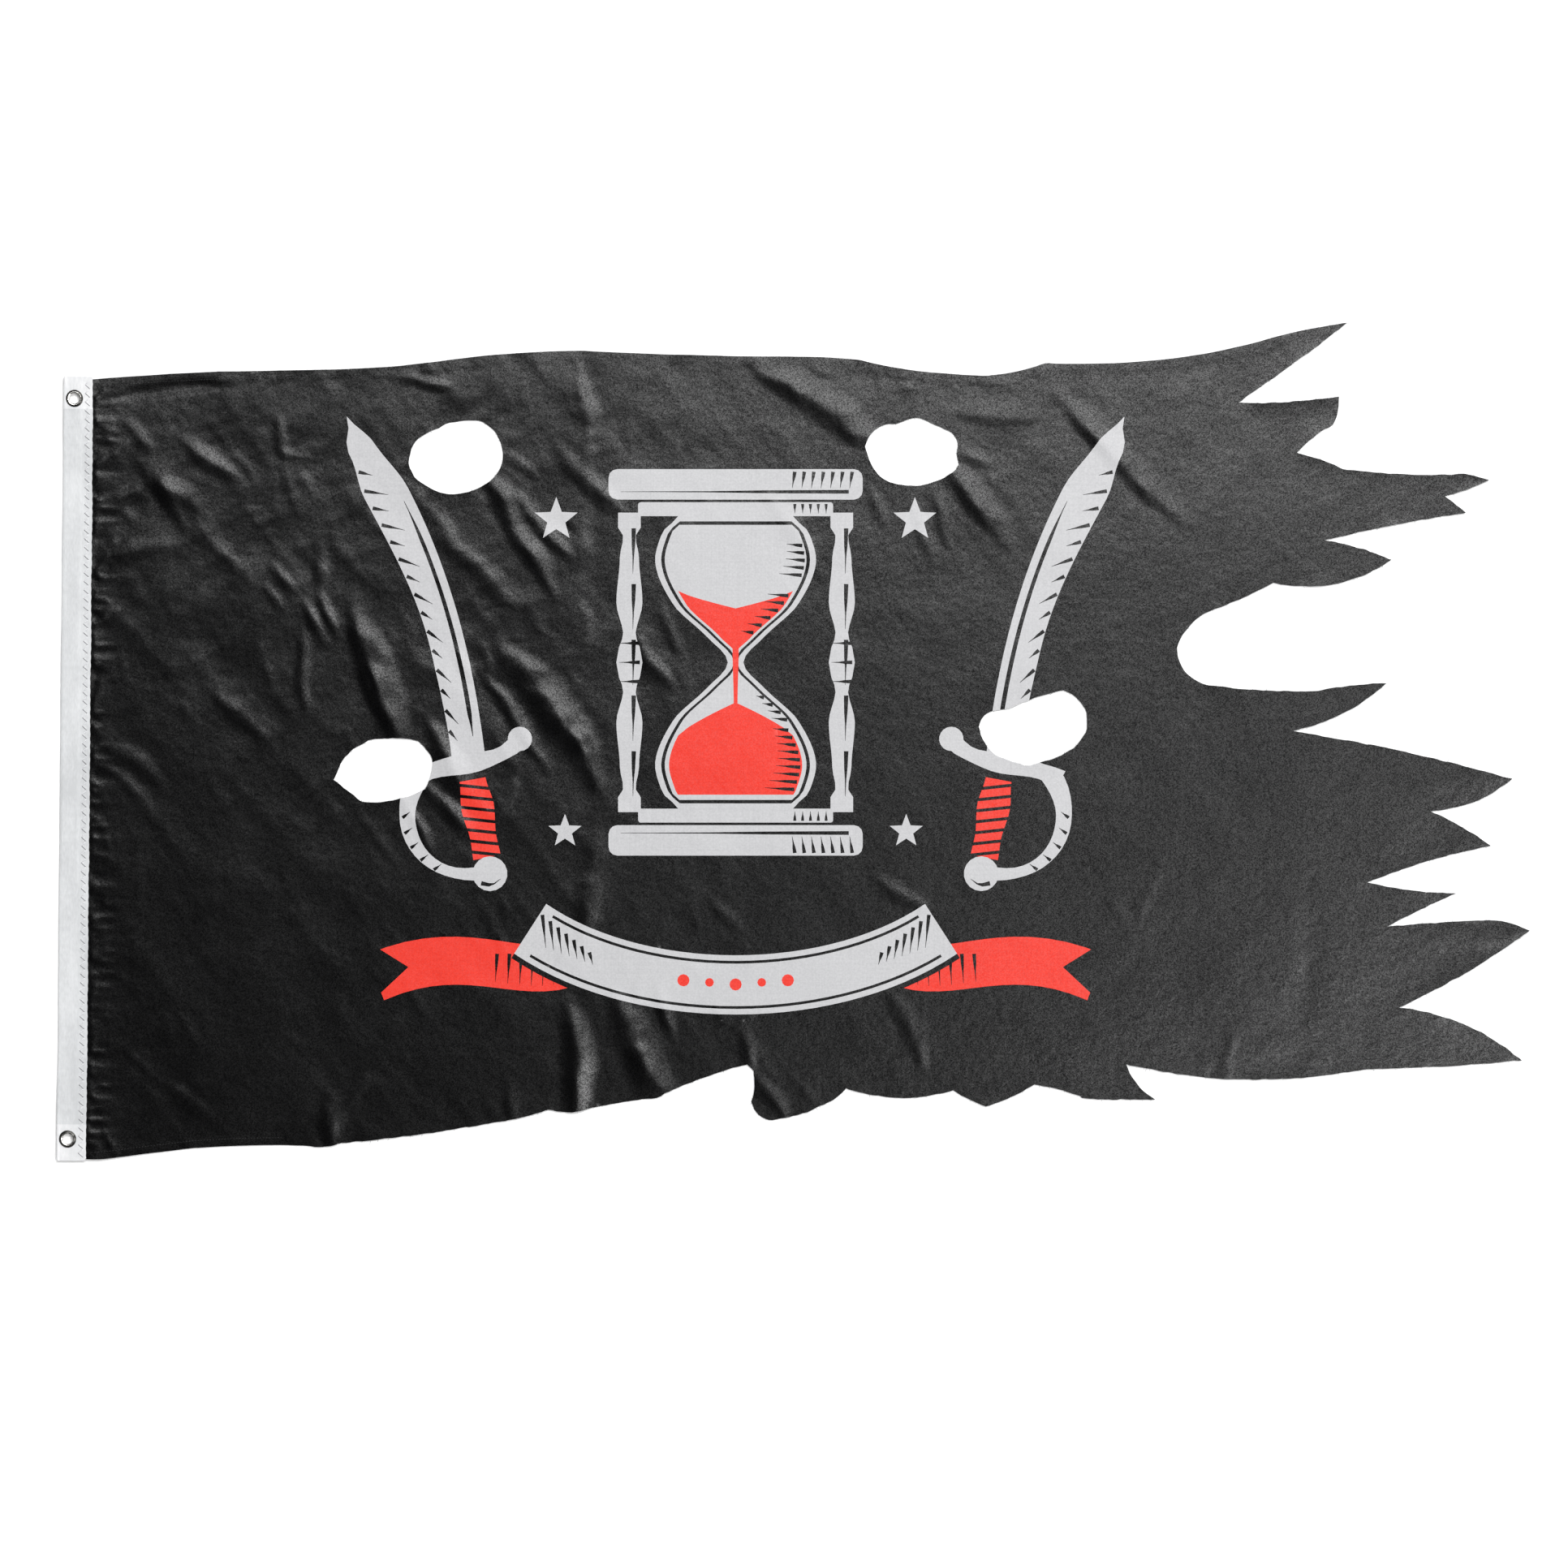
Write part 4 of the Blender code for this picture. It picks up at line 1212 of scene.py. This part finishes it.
def eyelet_ring(name, frame, station, materials):
    """A turned eyelet with rolled rims, clenched on the heading."""
    low, high = EYELET_SEATS
    profile = rim_profile(high, EYELET_TOP, high - EYELET_LIP / 2)
    profile += rim_profile(low, 0, low + EYELET_LIP / 2)[::-1]
    centre_x, centre_y = heading_place(EYELET_INSET, station)
    verts, faces = [], []
    for step in range(RING_STEPS):
        angle = 2 * math.pi * step / RING_STEPS
        for radius, z in profile:
            verts.append(((centre_x + radius * math.cos(angle)) * MM + frame.x,
                          (centre_y + radius * math.sin(angle)) * MM + frame.y, z * MM))
    count = len(profile)
    for step in range(RING_STEPS):
        a, b = step * count, (step + 1) % RING_STEPS * count
        for i in range(count):
            j = (i + 1) % count
            faces.append((a + i, b + i, b + j, a + j))
    ring = mesh_object(name, verts, faces, materials)
    face_outwards(ring)
    # plain nickel round the bore; outside that, near-black nickel as painted shade and dark
    # reflection
    for face in ring.data.polygons:
        x, y = frame.table(face.center)
        face.material_index = 1 if math.hypot(x - centre_x, y - centre_y) > EYELET_PAINTED_SHADE_FROM else 0
    sharpen(ring, 50)
    return ring


# ---------------------------------------------------------------- hem stitches and frayed threads

def hem_stitches(frame, runs, height, materials):
    """A row of small stitches along each hem, on its upper side and its underside."""
    parts = []
    for run in runs:
        line = beside_hem(run, HEM_WIDTH - STITCH_INSET, 3, 22)
        walk = np.concatenate(([0], np.cumsum(np.hypot(*np.diff(line, axis=0).T))))
        starts = np.arange(1, walk[-1] - STITCH_PITCH, STITCH_PITCH)
        spots = []
        for share in (0, 0.5, 1):
            along = starts + share * STITCH_LENGTH
            spots.append((np.interp(along, walk, line[:, 0]), np.interp(along, walk, line[:, 1])))
        for side, lift in ((1, SHEET_THICK + 0.05), (-1, 0.02)):
            level = height(*spots[1]) + lift
            bent = [frame.metres(x, y, np.maximum(level + side * dip, 0.03))
                    for (x, y), dip in zip(spots, STITCH_DIPS)]
            for stitch in zip(*bent):
                parts.append(tube(stitch, [radius * MM for radius in STITCH_RADII], 4))
    verts, faces = joined(parts)
    return mesh_object("hem_stitching", verts, faces, materials)


def frayed_threads(frame, loops, height, materials):
    """Loose threads that stick out of the torn edges."""
    rng = np.random.default_rng(FRAY_SEED)
    t = np.linspace(0, 1, 5)
    parts = []
    for loop in loops:
        torn = np.flatnonzero(hemmed_share(loop) < 0.5)
        normals = outward_normals(loop)
        for index in torn[rng.random(len(torn)) < FRAY_SHARE]:
            turn = rng.normal(0, 0.5)
            nx, ny = normals[index]
            cos, sin = math.cos(turn), math.sin(turn)
            run_x, run_y = nx * cos - ny * sin, nx * sin + ny * cos
            length = rng.uniform(1.2, 3.2) + 3.5 * rng.random() ** 5
            bow = rng.normal(0, 0.22) * length
            root_x, root_y = loop[index] - normals[index] * FRAY_ROOT
            x = root_x + run_x * (length + FRAY_ROOT) * t - run_y * bow * t * t
            y = root_y + run_y * (length + FRAY_ROOT) * t + run_x * bow * t * t
            base = height(np.array([root_x]), np.array([root_y])) + SHEET_THICK / 2
            z = np.maximum(base - t ** 2 * rng.uniform(0, 0.8), 0.15)
            radii = rng.uniform(0.09, 0.15) * MM * (1 - 0.45 * t)
            parts.append(tube(frame.metres(x, y, z), radii.tolist(), 4))
    verts, faces = joined(parts)
    return mesh_object("frayed_threads", verts, faces, materials)


# ---------------------------------------------------------------- materials

class Paint:
    """A node material, put together one node at a time."""

    def __init__(self, name, **fixed):
        self.material = bpy.data.materials.new(name)
        self.material.use_nodes = True
        self.tree = self.material.node_tree
        self.shader = self.tree.nodes["Principled BSDF"]
        for socket, value in fixed.items():
            self.feed(value, self.shader.inputs[socket.replace("_", " ")])

    def node(self, kind, settings=(), **inputs):
        node = self.tree.nodes.new(kind)
        for key, value in dict(settings).items():
            setattr(node, key, value)
        for socket, value in inputs.items():
            self.feed(value, node.inputs[socket.replace("_", " ")])
        return node

    def feed(self, value, socket):
        """Links another node's output to the socket, or sets the value there."""
        if isinstance(value, bpy.types.NodeSocket):
            self.tree.links.new(value, socket)
        else:
            socket.default_value = value

    def place(self, scale):
        """Places on the object, in steps of 1 / scale metres along each axis."""
        where = self.node("ShaderNodeTexCoord").outputs["Object"]
        mapping = self.node("ShaderNodeMapping", Vector=where, Scale=scale)
        return mapping.outputs["Vector"]

    def noise(self, scale, detail=2.0, roughness=0.5):
        """Noise over the object; scale is how many humps a metre has, along each axis."""
        texture = self.node("ShaderNodeTexNoise", Vector=self.place(scale), Scale=1.0, Detail=detail,
                            Roughness=roughness)
        return texture.outputs["Fac"]

    def speckle(self, cells):
        """A random value for every little square of the object, cells of them to a metre."""
        where = self.place((cells, cells, 1))
        cell = self.node("ShaderNodeVectorMath", {"operation": "FLOOR"}, Vector=where)
        return self.node("ShaderNodeTexWhiteNoise", Vector=cell.outputs["Vector"]).outputs["Value"]

    def bands(self, direction, scale, distortion, detail=2.0):
        """Wavy bands across a direction, from 0 to 1."""
        kind = {"wave_type": "BANDS", "bands_direction": direction}
        wave = self.node("ShaderNodeTexWave", kind, Vector=self.place((1, 1, 1)), Scale=scale,
                         Distortion=distortion, Detail=detail)
        return wave.outputs["Fac"]

    def spread(self, value, from_low, from_high, to_low, to_high):
        """The value stretched from one range to another, and kept inside the new one."""
        node = self.node("ShaderNodeMapRange", Value=value, From_Min=from_low, From_Max=from_high,
                         To_Min=to_low, To_Max=to_high)
        return node.outputs["Result"]

    def math(self, operation, a, b):
        node = self.node("ShaderNodeMath", {"operation": operation})
        self.feed(a, node.inputs[0])
        self.feed(b, node.inputs[1])
        return node.outputs[0]

    def blend(self, first, second):
        """The sum of two values, each times its weight."""
        return self.math("ADD", self.math("MULTIPLY", *first), self.math("MULTIPLY", *second))

    def mix(self, share, low, high):
        """A colour between two colours; the node's inputs 6 and 7 are those of its colour mode."""
        node = self.node("ShaderNodeMix", {"data_type": "RGBA"})
        self.feed(share, node.inputs[0])
        self.feed((*low, 1), node.inputs[6])
        self.feed((*high, 1), node.inputs[7])
        return node.outputs[2]

    def bump(self, height, distance, strength=1.0, under=None):
        node = self.node("ShaderNodeBump", Height=height, Distance=distance, Strength=strength)
        if under is not None:
            self.feed(under, node.inputs["Normal"])
        return node.outputs["Normal"]

    def finish(self, colour, roughness, normal):
        self.feed(colour, self.shader.inputs["Base Color"])
        self.feed(roughness, self.shader.inputs["Roughness"])
        self.feed(normal, self.shader.inputs["Normal"])
        return self.material


def thread_lines(paint):
    """Uneven threads of the weave, faint lines along the fly and up the hoist, from 0 to 1."""
    along = paint.noise((7, 620, 40), 1.0)
    up = paint.noise((620, 7, 40), 1.0)
    return paint.math("MULTIPLY", paint.math("ADD", along, up), 0.5)


def cloth_paint(name, dark, light, rough, shine):
    paint = Paint(name, Specular_IOR_Level=shine)
    lines = thread_lines(paint)
    patches = paint.noise((9, 9, 9), 4.0, 0.6)
    crumple = paint.noise((90, 90, 90), 2.0, 0.5)
    grain = paint.noise((430, 430, 430), 2.0, 0.6)
    share = paint.blend((lines, 0.3), (patches, 0.2))
    share = paint.math("ADD", share, paint.math("MULTIPLY", grain, 0.5))
    colour = paint.mix(paint.spread(share, 0.38, 0.62, 0, 1), dark, light)
    roughness = paint.spread(patches, 0.3, 0.7, rough - 0.015, rough + 0.015)
    # the floats of the weave glint unevenly
    glint = paint.mix(paint.speckle(1000), (0.2, 0.2, 0.2), (1, 1, 1))
    paint.feed(glint, paint.shader.inputs["Specular Tint"])
    normal = paint.bump(crumple, 0.0004, 0.8)
    normal = paint.bump(lines, 0.0001, 0.4, normal)
    normal = paint.bump(grain, 0.00006, 0.8, normal)
    return paint.finish(colour, roughness, normal)


def tape_paint(name, dark, light):
    paint = Paint(name, Sheen_Weight=0.2, Sheen_Roughness=0.5, Specular_IOR_Level=0.3)
    across, up = paint.bands("X", 330.0, 1.2, 1.0), paint.bands("Y", 260.0, 1.2, 1.0)
    weave = paint.math("MULTIPLY", across, up)
    stain = paint.noise((30, 9, 20), 4.0, 0.6)
    fleck = paint.noise((500, 160, 300), 2.0)
    share = paint.blend((stain, 0.7), (fleck, 0.3))
    colour = paint.mix(paint.spread(share, 0.38, 0.62, 0, 1), dark, light)
    normal = paint.bump(stain, 0.0012, 0.4)
    normal = paint.bump(weave, 0.00015, 0.6, normal)
    normal = paint.bump(fleck, 0.0001, 0.5, normal)
    return paint.finish(colour, paint.spread(fleck, 0.3, 0.7, 0.7, 0.85), normal)


def thread_paint(name, dark, light, rough):
    paint = Paint(name, Sheen_Weight=0.15, Sheen_Roughness=0.5)
    twist = paint.bands("DIAGONAL", 500.0, 0.6)
    fleck = paint.noise((350, 350, 350), 2.0)
    colour = paint.mix(paint.math("MULTIPLY", paint.math("ADD", twist, fleck), 0.5), dark, light)
    return paint.finish(colour, paint.spread(fleck, 0.3, 0.7, rough - 0.05, rough + 0.08),
                        paint.bump(twist, 0.0001, 0.6))


def nickel_paint(name, dark, light):
    paint = Paint(name, Metallic=1.0)
    haze = paint.noise((260, 260, 260), 4.0, 0.6)
    turning = paint.noise((1500, 1500, 90), 1.0)
    colour = paint.mix(paint.spread(haze, 0.35, 0.65, 0, 1), dark, light)
    roughness = paint.spread(haze, 0.3, 0.7, 0.18, 0.32)
    return paint.finish(colour, roughness, paint.bump(turning, 0.00004, 0.4))


def floor_paint():
    paint = Paint("pale_floor", Specular_IOR_Level=0.1)
    mottle = paint.noise((3, 3, 3), 3.0)
    colour = paint.mix(mottle, (0.90, 0.90, 0.90), (0.92, 0.92, 0.92))
    roughness = paint.spread(mottle, 0, 1, 0.9, 0.95)
    return paint.finish(colour, roughness, paint.bump(mottle, 0.0001, 0.1))


# ---------------------------------------------------------------- floor, light and camera

def floor(cad_low, cad_high):
    """A plain square under the middle of the flag."""
    centre_x, centre_y = (cad_low[0] + cad_high[0]) / 2, (cad_low[1] + cad_high[1]) / 2
    reach = FLOOR_SIZE / 2
    verts = [(centre_x + sx * reach, centre_y + sy * reach, -FLOOR_DROP)
             for sx, sy in ((-1, -1), (1, -1), (1, 1), (-1, 1))]
    mesh_object("floor", verts, [(0, 1, 2, 3)], [floor_paint()], smooth=False)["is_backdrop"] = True


def linked(name, data, place):
    """A light or camera of the scene at a place."""
    obj = bpy.data.objects.new(name, data)
    bpy.context.scene.collection.objects.link(obj)
    obj.location = place
    return obj


def lights():
    """Round lights overhead, aimed at the origin, in a studio pale low down and dark above."""
    for name, place, size, power in LIGHTS:
        light = bpy.data.lights.new(name, "AREA")
        light.shape = "DISK"
        light.size = size
        light.energy = power
        aimed = (-Vector(place)).to_track_quat("-Z", "Y")
        linked(name, light, place).rotation_euler = aimed.to_euler()
    world = bpy.data.worlds.new("studio")
    bpy.context.scene.world = world
    world.use_nodes = True
    nodes, links = world.node_tree.nodes, world.node_tree.links
    nodes["Background"].inputs["Color"].default_value = (1, 1, 1, 1)
    direction = nodes.new("ShaderNodeTexCoord")
    split = nodes.new("ShaderNodeSeparateXYZ")
    strength = nodes.new("ShaderNodeMapRange")
    for socket, value in (("From Min", 0.0), ("From Max", 0.6), ("To Min", 0.9), ("To Max", 0.02)):
        strength.inputs[socket].default_value = value
    links.new(direction.outputs["Generated"], split.inputs["Vector"])
    links.new(split.outputs["Z"], strength.inputs["Value"])
    links.new(strength.outputs["Result"], nodes["Background"].inputs["Strength"])


def camera():
    """Straight above the flag, as far off as takes in the framed width."""
    data = bpy.data.cameras.new("camera")
    data.lens = LENS
    data.sensor_width = SENSOR
    data.clip_end = 100
    distance = FRAMED_WIDTH / 2 / (SENSOR / 2 / LENS)
    bpy.context.scene.camera = linked("camera", data, (*CAMERA_ABOVE, distance))
    bpy.context.scene.view_settings.view_transform = "Standard"


# ---------------------------------------------------------------- the scene

def main():
    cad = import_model()
    cad_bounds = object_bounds()
    frame = Frame()
    camera()
    lights()
    floor(*cad_bounds)

    black = cloth_paint("black_polyester", (0.0004, 0.0004, 0.0005), (0.002, 0.002, 0.0022),
                        0.29, 0.46)
    white = cloth_paint("white_print", (0.42, 0.42, 0.43), (0.49, 0.49, 0.50), 0.42, 0.35)
    red = cloth_paint("red_print", (0.62, 0.030, 0.019), (0.72, 0.042, 0.026), 0.40, 0.35)

    rims = rim_loops(cad["nodes"]["flag_cloth"], frame)
    loops = [worn_loop(rounded_loop(thinned(loop, RIM_LEAST))) for loop in rims]
    outline = loops[0]
    runs = hem_runs(outline)
    hem_points = np.vstack([points for points, _ in runs])
    torn_points = np.vstack([loop[hemmed_share(loop) < 0.5] for loop in loops])

    def height(x, y):
        return cloth_height(x, y, distance_to(hem_points, x, y), distance_to(torn_points, x, y))

    shapes = artwork()
    points = lattice(outline, bending(height, outline))
    places, triangles = triangulated(loops, hem_lines(runs), shapes, points)
    ink = inks(places, triangles, shapes)
    cloth = cloth_sheet(frame, places, triangles, ink, height, [black, white, red])

    canvas = [tape_paint("white_canvas_tape", (0.51, 0.52, 0.53), (0.64, 0.65, 0.66)),
              tape_paint("doubled_canvas_tape", (0.61, 0.62, 0.63), (0.74, 0.74, 0.75))]
    tape = heading_sheet(frame, canvas)
    white_thread = thread_paint("white_thread", (0.60, 0.61, 0.63), (0.80, 0.80, 0.81), 0.6)
    # grey thread: painted shade for the seam's falling strokes
    thread_painted_shade = thread_paint("thread_painted_shade", (0.17, 0.17, 0.18), (0.30, 0.30, 0.31), 0.6)
    seam = seam_thread(frame, [white_thread, thread_painted_shade])
    black_thread = thread_paint("black_thread", (0.012, 0.012, 0.013), (0.03, 0.03, 0.032), 0.5)
    stitches = hem_stitches(frame, runs, height, [black_thread])
    loose_thread = thread_paint("loose_thread", (0.01, 0.01, 0.011), (0.025, 0.025, 0.027), 0.6)
    threads = frayed_threads(frame, loops, height, [loose_thread])
    # the second nickel is near-black: painted shade and dark reflection on the rings' outer part
    nickel = [nickel_paint("nickel_plate", (0.60, 0.59, 0.57), (0.76, 0.75, 0.73)),
              nickel_paint("nickel_painted_shade", (0.04, 0.039, 0.037), (0.11, 0.108, 0.102))]
    lower = eyelet_ring("eyelet_lower_ring", frame, EYELET_STATIONS[0], nickel)
    upper = eyelet_ring("eyelet_upper_ring", frame, EYELET_STATIONS[1], nickel)

    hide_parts("flag_cloth")
    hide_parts("heading_tape")
    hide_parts("eyelet_lower")
    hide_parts("eyelet_upper")
    for slot, pieces in (("black_polyester", (cloth, stitches, threads)),
                         ("white_tape", (tape, seam)), ("nickel", (lower, upper))):
        for piece in pieces:
            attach(piece, "root")


main()
